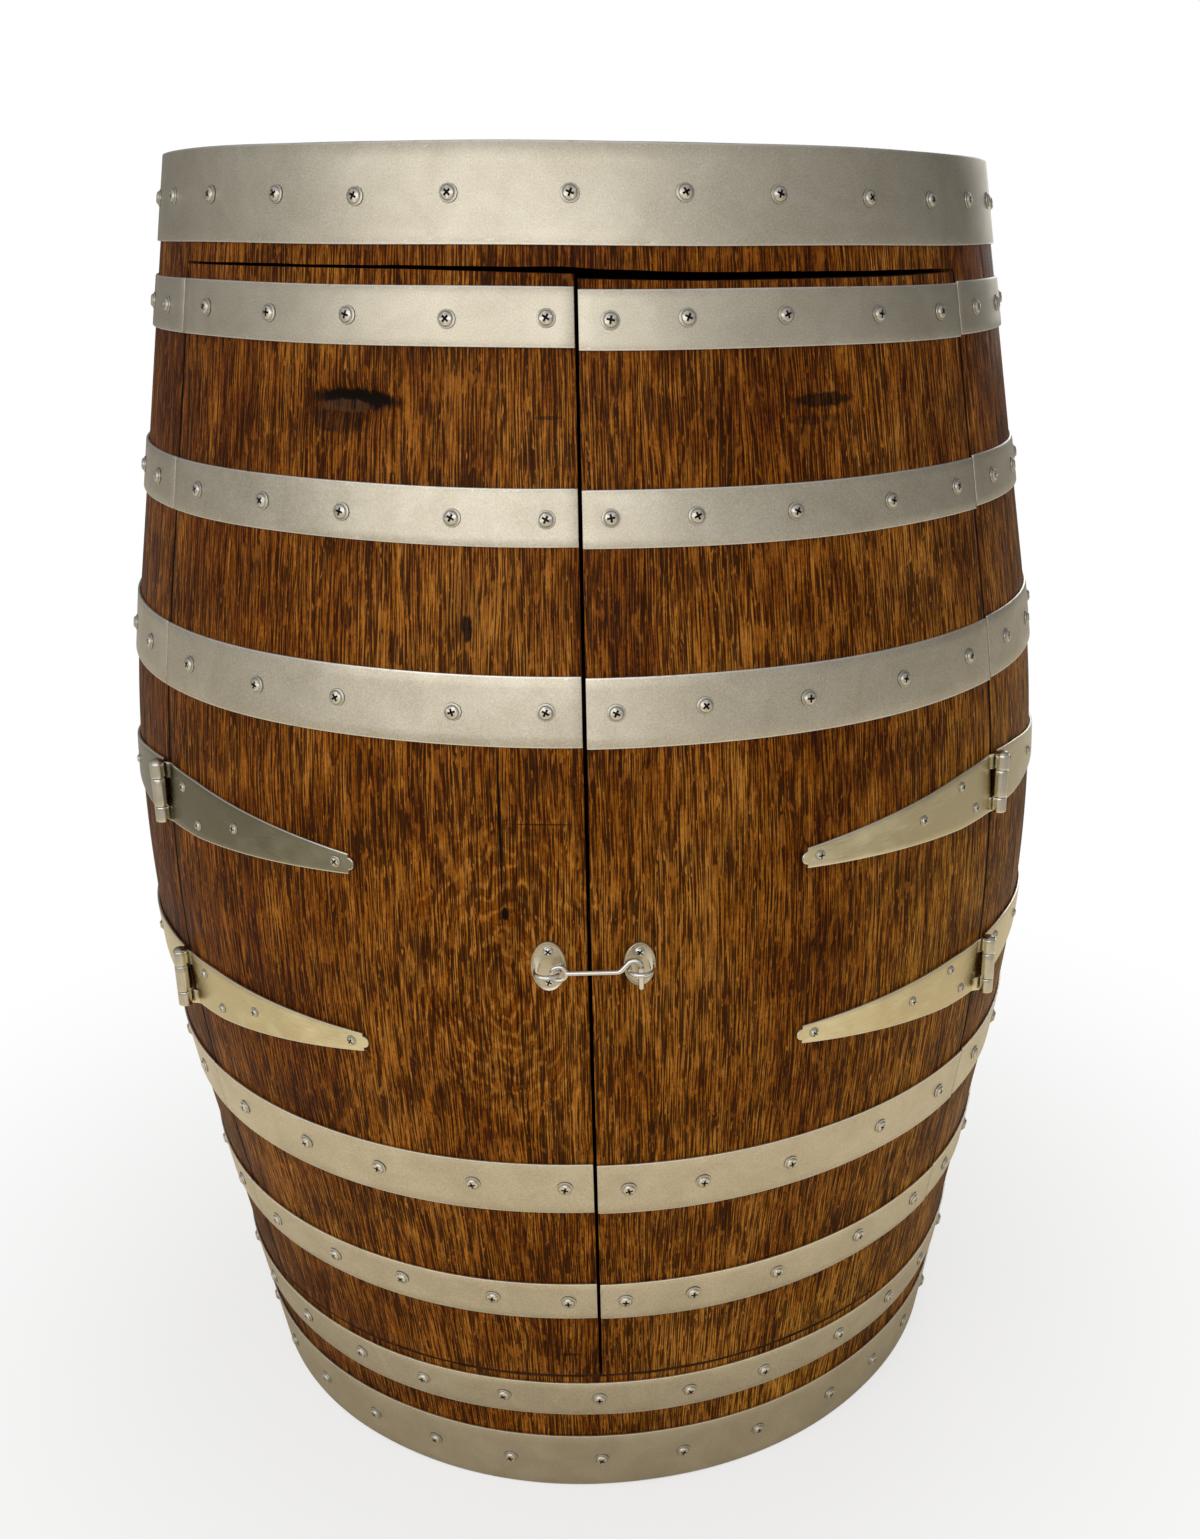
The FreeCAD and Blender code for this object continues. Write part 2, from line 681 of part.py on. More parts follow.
def make_leaf(label, pin_angle, side, middle, heights, screws):
    """A tapered strap leaf bent round the barrel, with its knuckles on the pin line.

    side is +1 where the leaf runs towards +X of the pin, heights are the low and high ends
    of its knuckles, and screws are (distance along, up or down) pairs.
    """
    half = size("HingeWide") / 2
    low, high = middle - half - "LeafLean", middle + half + "LeafLean"
    play, thick = size("LeafPlay"), size("LeafThick")
    body = new_body("Leaf")

    strip = start_sketch(body, "XZ_Plane")
    draw_loop(strip, [
        (outer(low) + play, low), (outer(low) + play + thick, low, BEND_RADIUS),
        (outer(high) + play + thick, high), (outer(high) + play, high, -BEND_RADIUS)])
    revolve(body, strip, LEAF_SPAN * 2, both_ways=True)

    # everything outside the leaf's outline is cut away, seen square to its middle
    outline = start_sketch(body, "YZ_Plane")
    reach, shoulder_half = size("BilgeRadius"), size("ShoulderWide") / 2
    draw_loop(outline, [(-reach, low - half), (reach, low - half), (reach, high + half), (-reach, high + half)])
    back, shoulder = leaf_place("LeafBack", side, middle), leaf_place("LeafShoulder", side, middle)
    neck, tab_start = leaf_place(size("LeafLong") - "TabOut", side, middle), size("TabWide") / 2
    tab_end = leaf_place("LeafLong", side, middle) - neck
    tip, tip_middle = size("LeafTip") / 2, leaf_middle(middle, "LeafLong")
    shoulder_middle = leaf_middle(middle, "LeafShoulder")
    bulge = (tab_start * tab_start + tab_end * tab_end) / ((tab_end * 2) if side > 0 else (-tab_end * 2))
    draw_loop(outline, [
        (back, middle - half), (shoulder, shoulder_middle - shoulder_half), (neck, tip_middle - tip),
        (neck, tip_middle - tab_start, bulge if side > 0 else -bulge), (neck, tip_middle + tab_start),
        (neck, tip_middle + tip), (shoulder, shoulder_middle + shoulder_half), (back, middle + half)])
    pocket(body, outline)

    # knuckles, each with the stretch of plate that curls up into it
    turned = LEAF_SPAN / 2 * (-side)
    face, proud = outer(middle - half), outer(middle + half)
    if face.value > proud.value:
        face, proud = proud, face

    def spot(outwards, along):
        """Plan place of a point by its radius and its distance from the pin line."""
        return (outwards * cos(turned) - size(along) * side * sin(turned),
                outwards * sin(turned) + size(along) * side * cos(turned))

    for bottom, top in heights:
        cut = start_sketch(body, "XY_Plane", bottom)
        draw_circle(cut, *spot(PIN_RADIUS, 0), size("KnuckleWide") / 2)
        pad(body, cut, top - bottom)
        curl = start_sketch(body, "XY_Plane", bottom)
        rise = PIN_RADIUS - size("KnuckleWide") / 2 + thick * 0.75
        plate_face, lap = proud + play + thick - "CurlSink", size("LeafBack") + "CurlLap"
        corners = [spot(face + play, "CurlStart"), spot(face + play, lap), spot(plate_face, lap),
                   spot(plate_face, "CurlFoot"), spot(rise, "CurlTop"), spot(rise, "CurlStart")]
        draw_loop(curl, corners if side < 0 else list(reversed(corners)))
        pad(body, curl, top - bottom)

    bed = start_sketch(body, "XZ_Plane")
    deep = size("BilgeRadius") - size("StaveThick") * 2
    draw_loop(bed, [(deep, low - play), (outer(low) + play, low - play), (outer(low) + play, low, BEND_RADIUS),
                    (outer(high) + play, high), (outer(high) + play, high + play), (deep, high + play)])
    revolve(body, bed, LEAF_SPAN * 2, both_ways=True, kind="Groove")

    bore = start_sketch(body, "XY_Plane")
    draw_circle(bore, *spot(PIN_RADIUS, 0), size("PinThick") / 2 + "PinPlay")
    pocket(body, bore)

    holes = start_sketch(body, "YZ_Plane")
    for along, aside in screws:
        draw_circle(holes, leaf_place(along, side, middle), leaf_middle(middle, along) + aside,
                    size("ScrewHole") / 2)
    pocket(body, holes)
    return as_node(body, label, pin_angle + LEAF_SPAN / 2 * side)


def make_pin(label, pin_angle, middle):
    """A hinge pin with a low rounded head that rests on the top knuckle."""
    half = size("HingeWide") / 2
    head, radius = size("PinHeadWide") / 2, size("PinThick") / 2
    tall = size("PinHeadTall")
    body = new_body("Pin")
    profile = start_sketch(body, "XZ_Plane")
    low, high, chamfer = middle - half - "PinBelow", middle + half, size("PinChamfer")
    draw_loop(profile, [(0, low), (radius - chamfer, low), (radius, low + chamfer), (radius, high),
                        (head, high), (head, high + tall * 0.3), (head * 0.8, high + tall * 0.75),
                        (head * 0.4, high + tall), (0, high + tall)])
    revolve(body, profile)
    return as_node(body, label, None, (PIN_RADIUS * sin(pin_angle), -PIN_RADIUS * cos(pin_angle), 0))


def make_screw(seat, head, tall, shank, long, point, angle, height):
    """A wood screw with a raised, bevelled head that points at the barrel's axis."""
    head, shank = size(head) / 2, size(shank) / 2
    seat, tall, long = size(seat), size(tall), size(long)
    body = new_body("Screw")
    profile = start_sketch(body, "XZ_Plane")
    draw_loop(profile, [(seat - long, 0), (seat - long + point, shank), (seat, shank), (seat, head),
                        (seat + tall * 0.4, head), (seat + tall, head * 0.6), (seat + tall, 0)])
    revolve(body, profile, about="H_Axis")
    body.Placement = Placement(Vector(), Rotation(Vector(0, 0, 1), 10))
    body.setExpression("Placement.Rotation.Angle", (angle - 90).text)
    body.setExpression("Placement.Base.z", height.text)
    return body


def leaf_screw(pin_angle, side, along, height):
    seat = outer(height) + "LeafPlay" + "LeafThick" + "ScrewPlay"
    return make_screw(seat, "ScrewHeadWide", "ScrewHeadTall", "ScrewShank", "ScrewLong", "ScrewPoint",
                      pin_angle + turn(along, "BilgeRadius") * side, height)


def group(label, members):
    """Identical fasteners share one node as separate solids."""
    together = doc.addObject("Part::Compound", "Group")
    together.Links = members
    together.Label = label
    nodes.append(together)
    return together


def make_hinges():
    half, middle_half = size("HingeWide") / 2, size("KnuckleMiddle") / 2
    play = size("KnucklePlay") / 2
    aside = size("ScrewAside")
    cabinet_screws = []
    for name, edge, side in (("left", LEFT_EDGE, 1), ("right", RIGHT_EDGE, -1)):
        door_screws = []
        for place, middle in (("upper", MIDDLE + "UpperHingeUp"), ("lower", MIDDLE - "LowerHingeDown")):
            ends = [(middle - half, middle - middle_half - play), (middle + middle_half + play, middle + half)]
            centre = [(middle - middle_half + play, middle + middle_half - play)]
            flip = aside * side
            door_holes = [("ScrewNear", flip), ("ScrewNext", -flip), ("ScrewMid", 0), ("ScrewFar", 0)]
            frame_holes = [("ScrewNear", flip), ("ScrewMid", 0), ("ScrewFar", 0)]
            make_leaf(f"{name}_{place}_door_leaf", edge, side, middle, ends, door_holes)
            make_leaf(f"{name}_{place}_frame_leaf", edge, -side, middle, centre, frame_holes)
            make_pin(f"{name}_{place}_hinge_pin", edge, middle)
            door_screws += [leaf_screw(edge, side, along, leaf_middle(middle, along) + up)
                            for along, up in door_holes]
            cabinet_screws += [leaf_screw(edge, -side, along, leaf_middle(middle, along) + up)
                               for along, up in frame_holes]
        group(f"{name}_door_hinge_screws", door_screws)
    group("cabinet_hinge_screws", cabinet_screws)


# ---------------------------------------------------------------- cabin hook

HOOK_HEIGHT = MIDDLE - "HookDown"
PLATE_SEAT = size("BilgeRadius") + "PlatePlay"
PLATE_FACE = PLATE_SEAT + "PlateThick"


def make_rosette(name, angle, wide, tall):
    """An oval screw plate with a raised rim, its wire staple and its two screws."""
    wide, tall = size(wide), size(tall)
    height = HOOK_HEIGHT
    reach = tall / 2 - "PlateScrewInset"
    body = new_body("Rosette")
    plate = start_sketch(body, "YZ_Plane", PLATE_SEAT)
    draw_oval(plate, 0, height, wide, tall)
    pad(body, plate, "PlateThick")
    dish = start_sketch(body, "YZ_Plane", PLATE_FACE)
    rim = size("PlateRim") * 2
    draw_oval(dish, 0, height, wide - rim, tall - rim)
    pocket(body, dish, "PlateDish")
    holes = start_sketch(body, "YZ_Plane")
    for up in (reach, -reach):
        draw_circle(holes, 0, height + up, size("PlateScrewHole") / 2)
    pocket(body, holes)
    as_node(body, f"{name}_rosette", angle)

    floor = PLATE_FACE - "PlateDish"
    half = size("StapleSpan") / 2
    leg = PLATE_FACE + "StapleLeg"
    staple = new_body("Staple")
    path = start_sketch(staple, "XY_Plane", height)
    draw_loop(path, [(floor, -half), (leg, -half, half), (leg + half, 0, half), (leg, half),
                     (floor, half)], closed=False)
    wire = start_sketch(staple, "YZ_Plane", floor)
    draw_circle(wire, -half, height, size("StapleWire") / 2)
    pipe = staple.newObject("PartDesign::AdditivePipe", "Pipe")
    pipe.Profile = wire
    pipe.Spine = (path, [f"Edge{index}" for index in range(1, 5)])
    staple.Tip = pipe
    as_node(staple, f"{name}_staple", angle)

    group(f"{name}_rosette_screws", [
        make_screw(floor, "PlateScrewWide", "PlateScrewTall", "PlateScrewShank", "PlateScrewLong",
                   "PlateScrewPoint", angle, height + up) for up in (reach, -reach)])


def make_hook():
    """A cabin hook: an eye round the left staple, an arm, and a bent tip down through the keeper.

    It is drawn in an upright plane that faces the front; sideways is +X of the cabinet.
    """
    height, half = HOOK_HEIGHT, size("StapleSpan") / 2
    flat = PLATE_FACE + "HookOut"
    left, right = -size("RosetteAngle"), size("KeeperAngle")
    wire, play = size("HookWire"), size("HookPlay")
    pivot = flat * tan(left) + half / cos(left)
    tip = flat * tan(right)
    rest = tip - half / cos(right)
    eye_drop = size("EyeRadius") - size("EyeWire") / 2 - size("StapleWire") / 2 - play
    arm = height - eye_drop
    bend_radius, arch, rise = size("HookBend"), size("HookArch"), size("HookRise")
    # the rising stretch lies on the keeper's near wire
    crest = tip - arch * (1 + sin(rise))
    apart = wire / 2 + size("StapleWire") / 2 + play
    crest_height = height + (apart - sin(rise) * (rest - crest)) / cos(rise)
    arch_height = crest_height - arch * cos(rise)
    corner = crest - (crest_height - arm) / tan(rise)
    ease = bend_radius * tan(rise / 2)
    end = height - "HookDrop"

    body = new_body("Hook")
    path = start_sketch(body, "YZ_Plane", flat)
    draw_loop(path, [
        (pivot + "EyeRadius", arm), (corner - ease, arm, bend_radius),
        (corner + ease * cos(rise), arm + ease * sin(rise)),
        (crest, crest_height, -arch), (tip, arch_height), (tip, end)], closed=False)
    # a hook's round wire starts inside its eye
    start = start_sketch(body, "XZ_Plane", -(pivot + "EyeRadius"))
    draw_circle(start, flat, arm, wire / 2)
    pipe = body.newObject("PartDesign::AdditivePipe", "Pipe")
    pipe.Profile = start
    pipe.Spine = (path, [f"Edge{index}" for index in range(1, 6)])
    eye = body.newObject("PartDesign::AdditiveTorus", "Eye")
    eye.AttachmentSupport = (plane(body, "YZ_Plane"), [""])
    eye.MapMode = "FlatFace"
    for axis, length in zip("xyz", (pivot, arm, flat)):
        eye.setExpression(f"AttachmentOffset.Base.{axis}", length.text)
    eye.setExpression("Radius1", size("EyeRadius").text)
    eye.setExpression("Radius2", (size("EyeWire") / 2).text)
    point = body.newObject("PartDesign::AdditiveSphere", "Point")
    point.AttachmentSupport = (plane(body, "YZ_Plane"), [""])
    point.MapMode = "FlatFace"
    for axis, length in zip("xyz", (tip, end, flat)):
        point.setExpression(f"AttachmentOffset.Base.{axis}", length.text)
    point.setExpression("Radius", (wire / 2).text)
    body.Tip = point
    print(f"hook pivot x {pivot.value:.3f} y {-flat.value:.3f} z {height.value:.3f}")
    return as_node(body, "hook", size(0))


# ---------------------------------------------------------------- build

make_cabinet_staves()
make_bung()
make_front_staves()
make_doors()
make_head("bottom_head", size("CrozeDown") + size("CrozeWide") / 2)
make_head("top_head", TOP - "CrozeDown" - size("CrozeWide") / 2)
make_shelf()
make_hoops()
make_hinges()
make_rosette("left", -size("RosetteAngle"), "RosetteWide", "RosetteTall")
make_rosette("right", size("KeeperAngle"), "KeeperWide", "KeeperTall")
make_hook()

doc.recompute()
failed = [f"{thing.Name} in {', '.join(user.Label for user in thing.InList)}"
          for thing in doc.Objects if "Invalid" in thing.State or "Error" in thing.State]
if failed:
    raise RuntimeError("could not be built: " + "; ".join(failed))
os.makedirs("parts", exist_ok=True)
for node in nodes:
    if node.Shape.isNull() or not node.Shape.isValid():
        raise RuntimeError(f"{node.Label} has no valid shape")
    node.Shape.exportStep(f"parts/{node.Label}.step")
print(f"{len(nodes)} nodes, {sum(len(node.Shape.Solids) for node in nodes)} solids")
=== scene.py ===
import math
import bmesh
import bpy
import numpy as np
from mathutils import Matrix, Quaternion, Vector


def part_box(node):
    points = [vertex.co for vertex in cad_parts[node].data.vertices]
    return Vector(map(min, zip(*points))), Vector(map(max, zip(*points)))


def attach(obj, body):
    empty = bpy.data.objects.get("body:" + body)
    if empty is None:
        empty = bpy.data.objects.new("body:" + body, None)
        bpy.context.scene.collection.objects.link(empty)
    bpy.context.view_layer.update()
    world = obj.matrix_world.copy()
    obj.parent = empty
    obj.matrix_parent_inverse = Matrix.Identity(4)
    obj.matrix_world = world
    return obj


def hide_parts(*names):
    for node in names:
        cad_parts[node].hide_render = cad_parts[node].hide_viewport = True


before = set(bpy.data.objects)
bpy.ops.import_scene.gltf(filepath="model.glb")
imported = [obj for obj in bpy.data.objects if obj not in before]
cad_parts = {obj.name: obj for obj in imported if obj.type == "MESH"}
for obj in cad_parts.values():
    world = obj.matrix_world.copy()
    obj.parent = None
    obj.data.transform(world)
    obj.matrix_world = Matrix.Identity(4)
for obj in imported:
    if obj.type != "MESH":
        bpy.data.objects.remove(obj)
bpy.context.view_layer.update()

# The dressed barrel bar cabinet. Metres; the doors face -Y, and angles about the barrel are
# measured from the front, positive towards +X, as in the solids.

# ---- the barrel's form

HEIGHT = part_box("cabinet_staves")[1].z
MIDDLE = HEIGHT / 2
BILGE = 0.350            # outside radius at half height
BEND_REACH = 0.180       # half height of the staves' curved middle
CONE = math.radians(9.43)
WALL = 0.026
RIM_WALL = 0.015         # wall at the two rims
RIM_BEVEL = 0.022
BEND_RADIUS = BEND_REACH / math.sin(CONE)

LEFT_STAVES = (13, 11, 11, 13, 7)
RIGHT_STAVES = (6.5, 11, 12, 13.5, 10)
LEFT_EDGE, RIGHT_EDGE = -sum(LEFT_STAVES), sum(RIGHT_STAVES)
BACK_STAVES = 23
BACK_PITCH = (360 - RIGHT_EDGE + LEFT_EDGE) / BACK_STAVES
BACK_MIDDLE = 180 + (RIGHT_EDGE + LEFT_EDGE) / 2
JOINT = 0.0003
HINGE_GAP = 0.0014
SEAM_GAP = 0.0024
STAVE_ARRIS = 0.00025

HOOP_PLAY = 0.0003
HOOP_THICK = 0.0018
HOOP_SEAT = HOOP_PLAY + HOOP_THICK


def wall_radius(z):
    """Outside radius at a height: a circle's arc round the middle, and a straight cone beyond it."""
    away = np.abs(z - MIDDLE)
    bend = np.sqrt(BEND_RADIUS ** 2 - np.minimum(away, BEND_REACH) ** 2)
    return BILGE - BEND_RADIUS + bend - np.maximum(away - BEND_REACH, 0) * math.tan(CONE)


def triples(x, y, z):
    """Three arrays or numbers as one array of points."""
    return np.stack(np.broadcast_arrays(x, y, z), -1)


def round_axis(turn, radius, z):
    """Points about the barrel's axis: x is radius times sine of the turn, y minus its cosine."""
    return triples(radius * np.sin(turn), -radius * np.cos(turn), z)


def on_barrel(turn, z, out):
    """Points this far outside the wall."""
    return round_axis(turn, wall_radius(z) + out, z)


def degrees_of(length):
    """The turn, in degrees, that a length covers on the bilge."""
    return math.degrees(length / BILGE)


def upright_axes(turn, lean=0.0):
    """Rows: along the girth, up, and outwards, at a turn; lean tips the outward row upwards."""
    turn, lean = np.broadcast_arrays(np.atleast_1d(turn), np.atleast_1d(lean))
    girth = triples(np.cos(turn), np.sin(turn), 0 * turn)
    out = round_axis(turn, np.cos(lean), np.sin(lean))
    return np.stack([girth, np.cross(out, girth), out], 1)


# ---- meshes from grids


def around_faces(index):
    """Faces between the rows of a grid of point numbers."""
    return np.stack([index[:-1, :-1], index[:-1, 1:], index[1:, 1:], index[1:, :-1]], -1).reshape(-1, 4)


def tube_faces(rows, columns):
    """Faces of a tube of points, joined round each row."""
    index = np.arange(rows * columns).reshape(rows, columns)
    return around_faces(np.hstack([index, index[:, :1]]))


def cap_faces(ring):
    """Faces that close a ring of point numbers: strips from its first half to its second."""
    half = len(ring) // 2
    return around_faces(np.stack([ring[:half], ring[half:][::-1]]))


class Shell:
    """Grows one mesh out of grids, with the values that its finishes read at each point."""

    def __init__(self):
        self.points, self.faces, self.kinds, self.marks = [], [], [], []
        self.count = 0

    def add(self, points, faces, marks, kinds=0):
        self.points.append(points)
        self.faces.append(faces + self.count)
        self.kinds.append(np.full(len(faces), kinds) if np.isscalar(kinds) else kinds)
        self.marks.append(marks)
        self.count += len(points)

    def grid(self, points, marks=None, loop=False, capped=False, kind=0, cap_kind=None):
        """points is (along, around, 3), and each row is closed. loop joins the last row to the first,
        and capped closes both ends. Without marks, they are the points themselves and zeros."""
        rows, columns = points.shape[:2]
        index = np.arange(rows * columns).reshape(rows, columns)
        wide = np.hstack([index, index[:, :1]])
        faces = around_faces(np.vstack([wide, wide[:1]]) if loop else wide)
        kinds = np.full(len(faces), kind)
        if capped:
            caps = np.vstack([cap_faces(index[0]), cap_faces(index[-1])])
            faces = np.vstack([faces, caps])
            kinds = np.append(kinds, np.full(len(caps), kind if cap_kind is None else cap_kind))
        marks = marks or (points, 0 * points)
        flat = [np.broadcast_to(mark, points.shape).reshape(-1, 3) for mark in marks]
        self.add(points.reshape(-1, 3), faces, flat, kinds)

    def copies(self, points, faces, places, axes, marks):
        """The same small shape at many places, each with its own three axes as rows."""
        many = places[:, None] + points @ axes
        step = np.arange(len(places))[:, None, None] * len(points)
        self.add(many.reshape(-1, 3), (faces + step).reshape(-1, 4),
                 [np.tile(mark, (len(places), 1)) for mark in marks])

    def piece(self, name, body, slot, finishes, replaces=(), mark_names=("strip", "edge"), sharp=35):
        """The finished object: each face has the finish of its kind, and edges past sharp stay hard."""
        mesh = bpy.data.meshes.new(name)
        mesh.from_pydata(np.vstack(self.points), [], np.vstack(self.faces))
        mesh.polygons.foreach_set("material_index", np.concatenate(self.kinds))
        for at, mark in enumerate(mark_names):
            values = np.vstack([marks[at] for marks in self.marks])
            layer = mesh.attributes.new(mark, "FLOAT_VECTOR", "POINT")
            layer.data.foreach_set("vector", values.astype(np.float32).ravel())
        for finish in finishes:
            mesh.materials.append(finish)
        shape = bmesh.new()
        shape.from_mesh(mesh)
        bmesh.ops.remove_doubles(shape, verts=shape.verts, dist=1e-6)
        bmesh.ops.recalc_face_normals(shape, faces=shape.faces)
        shape.to_mesh(mesh)
        shape.free()
        mesh.polygons.foreach_set("use_smooth", np.ones(len(mesh.polygons), bool))
        mesh.set_sharp_from_angle(angle=math.radians(sharp))
        thing = bpy.data.objects.new(name, mesh)
        bpy.context.scene.collection.objects.link(thing)
        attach(thing, body)
        if replaces:
            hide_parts(*replaces)


BEVEL = 1 - math.sqrt(0.5)   # how far the middle of a quarter circle stands off its two sides


def rounded_section(half, thick, arris, across):
    """Once round a flat bar's section, row by row: offsets to each side, and depths under its face.

    The corners are quarter circles of radius arris, cut in half."""
    half, thick = (np.asarray(value, float).reshape(-1, 1) for value in (half, thick))
    arris = arris + 0 * half
    face = np.linspace(-1, 1, across) * (half - arris)
    aside = np.hstack([-half, -half + arris * BEVEL, face, half - arris * BEVEL, half])
    deep = np.hstack([arris, arris * BEVEL, 0 * face, arris * BEVEL, arris])
    thick = thick + 0 * half
    return np.hstack([aside, aside[:, ::-1]]), np.hstack([deep, thick - deep[:, ::-1]])


def end_rows(stops, arris):
    """Row places with rounded ends, and how far each row is drawn in: arris times (1 - cosine)."""
    low, high = stops[0], stops[-1]
    inner = stops[(stops > low + arris * 1.5) & (stops < high - arris * 1.5)]
    along = np.concatenate([[low, low + arris * BEVEL, low + arris], inner,
                            [high - arris, high - arris * BEVEL, high]])
    inset = np.zeros(len(along))
    inset[[0, -1]] = arris
    inset[[1, -2]] = arris * BEVEL
    return along, inset


def turned(profile, columns=24):
    """A turned shape about its own third axis, from (radius, height) pairs: points by row."""
    radius, height = np.array(profile, float).T
    angle = np.arange(columns) * 2 * math.pi / columns
    radius, height = radius[:, None], height[:, None]
    return triples(radius * np.cos(angle), radius * np.sin(angle), height)


def arc(middle, radius, start, end, count=12):
    """Points of an arc in a plane, by its start and end in degrees."""
    angle = np.radians(np.linspace(start, end, count))
    return np.stack([middle[0] + radius * np.cos(angle), middle[1] + radius * np.sin(angle)], -1)


def wire(path, radius, origin, axes, round_ends=True, loop=False):
    """Round wire along a flat path: rows of points in space.

    path is (n, 2) along the first two rows of axes; the third row is square to its plane."""
    if loop:
        run = np.roll(path, -1, 0) - np.roll(path, 1, 0)
    else:
        run = np.gradient(path, axis=0)
    run = run / np.linalg.norm(run, axis=1)[:, None]
    radii = np.full(len(path), radius)
    if round_ends:
        dome = np.radians([0, 30, 60, 85])
        first = path[0] - run[0] * np.sin(dome[::-1])[:, None] * radius
        last = path[-1] + run[-1] * np.sin(dome)[:, None] * radius
        path = np.vstack([first, path[1:-1], last])
        run = np.vstack([np.repeat(run[:1], 4, 0), run[1:-1], np.repeat(run[-1:], 4, 0)])
        radii = np.concatenate([radius * np.cos(dome[::-1]), radii[1:-1], radius * np.cos(dome)])
    angle = np.arange(16) * math.pi / 8
    normal = np.stack([-run[:, 1], run[:, 0]], -1)
    flat = path[:, None] + normal[:, None] * (radii[:, None] * np.cos(angle))[..., None]
    lift = (radii[:, None] * np.sin(angle))[..., None]
    return origin + flat @ axes[:2] + lift * axes[2]


def smooth_step(value, low, high):
    """0 at low, 1 at high, and level at both: 3 s squared less 2 s cubed."""
    share = np.clip((value - low) / (high - low), 0, 1)
    return share * share * (3 - 2 * share)


# ---- finishes


def srgb(red, green, blue):
    """A colour as it is seen, 0 to 255, as the linear value that a shader takes."""
    seen = np.array([red, green, blue]) / 255
    line = np.where(seen <= 0.04045, seen / 12.92, ((seen + 0.055) / 1.055) ** 2.4)
    return (*line.tolist(), 1.0)


def feed(tree, socket, value):
    """Link a node's result to a socket, or set the socket's own value."""
    if isinstance(value, bpy.types.NodeSocket):
        tree.links.new(value, socket)
    else:
        socket.default_value = value


def add_node(tree, kind, inputs, **settings):
    """A new node with its settings and its inputs, by their number or name."""
    node = tree.nodes.new("ShaderNode" + kind)
    for key, value in settings.items():
        setattr(node, key, value)
    for key, value in inputs.items():
        feed(tree, node.inputs[key], value)
    return node


class Finish:
    """A material under construction: each call adds a node and returns its result."""

    def __init__(self, name):
        self.material = bpy.data.materials.new(name)
        self.material.use_nodes = True
        self.tree = self.material.node_tree
        self.shader = self.tree.nodes["Principled BSDF"]

    def add(self, kind, inputs, **settings):
        return add_node(self.tree, kind, inputs, **settings)

    def mark(self, name):
        return self.add("Attribute", {}, attribute_name=name).outputs["Vector"]

    def place(self):
        return self.add("TexCoord", {}).outputs["Object"]

    def part(self, vector, axis):
        return self.add("SeparateXYZ", {0: vector}).outputs[axis]

    def math(self, operation, first, second=0.0, third=0.0):
        return self.add("Math", {0: first, 1: second, 2: third}, operation=operation).outputs[0]

    def times(self, first, second):
        return self.math("MULTIPLY", first, second)

    def plus(self, first, second):
        return self.math("ADD", first, second)

    def larger(self, first, second):
        return self.math("MAXIMUM", first, second)

    def centred(self, noise):
        return self.math("SUBTRACT", noise, 0.5)

    def add_share(self, value, share, onto):
        """value times share, added onto the third."""
        return self.math("MULTIPLY_ADD", value, share, onto)

    def stretch(self, vector, x, y, z):
        return self.add("VectorMath", {0: vector, 1: (x, y, z)}, operation="MULTIPLY").outputs[0]

    def reach(self, vector):
        return self.add("VectorMath", {0: vector}, operation="LENGTH").outputs["Value"]

    def away(self, vector, middle):
        return self.add("VectorMath", {0: vector, 1: tuple(middle)}, operation="SUBTRACT").outputs[0]

    def noise(self, vector, x, y, z, detail=2.0, rough=0.5, bent=0.0):
        """Noise with this many waves a metre each way."""
        inputs = {"Vector": self.stretch(vector, x, y, z), "Scale": 1.0, "Detail": detail,
                  "Roughness": rough, "Distortion": bent}
        return self.add("TexNoise", inputs).outputs[0]

    def step(self, value, low, high, start=0.0, end=1.0):
        return self.add("MapRange", {0: value, 1: low, 2: high, 3: start, 4: end},
                        interpolation_type="SMOOTHSTEP").outputs[0]

    def blend(self, share, first, second, how="MIX"):
        inputs = {0: share, 6: first, 7: second}
        return self.add("Mix", inputs, data_type="RGBA", blend_type=how).outputs[2]

    def ramp(self, value, *stops):
        node = self.add("ValToRGB", {0: value})
        points = node.color_ramp.elements
        while len(points) < len(stops):
            points.new(0.5)
        for point, (place, colour) in zip(points, stops):
            point.position, point.color = place, colour
        return node.outputs[0]

    def bump(self, height, strength, distance, under=None):
        inputs = {"Strength": strength, "Distance": distance, "Height": height}
        if under is not None:
            inputs["Normal"] = under
        return self.add("Bump", inputs).outputs[0]

    def done(self, **sockets):
        """The material, with these sockets of its shader fed."""
        for key, value in sockets.items():
            feed(self.tree, self.shader.inputs[key.replace("_", " ")], value)
        return self.material


# blemishes of the doors' outside: turn and height of the middle, half width, half height, darkness
# the bark pocket's darkness is partly bark and partly painted shade in its recess; its floor is painted
# less dark
BARK_POCKET = (-24.7, 0.7985, 0.0300, 0.0072, 1.0)
POCKET_FLOOR = (-26.0, 0.7945, 0.0195, 0.0040, 0.75)
BLEMISHES = (
    (-26.6, 0.7880, 0.0210, 0.0100, 0.60),   # lip of the pocket
    (27.6, 0.7975, 0.0240, 0.0045, 0.80),    # two smears of the right door
    (26.2, 0.7865, 0.0170, 0.0034, 0.45),
    (-11.7, 0.6730, 0.0036, 0.0092, 0.92),   # pin knot and its shade
    (-12.0, 0.6850, 0.0110, 0.0230, 0.30),
    (-3.2, 0.7911, 0.0080, 0.0014, 0.6),     # short saw marks by the seam, high and low
    (-4.0, 0.1390, 0.0085, 0.0013, 0.7),
    (-8.6, 0.5490, 0.0010, 0.0530, 1.0),     # crack and its end
    (-8.3, 0.5000, 0.0024, 0.0052, 1.0),
    (-4.4, 0.5575, 0.0210, 0.0006, 0.7),     # short level line
)
BLEMISH_DEEP = 0.03
FIGURE_TURN, FIGURE_HEIGHT = -8.6, 0.455


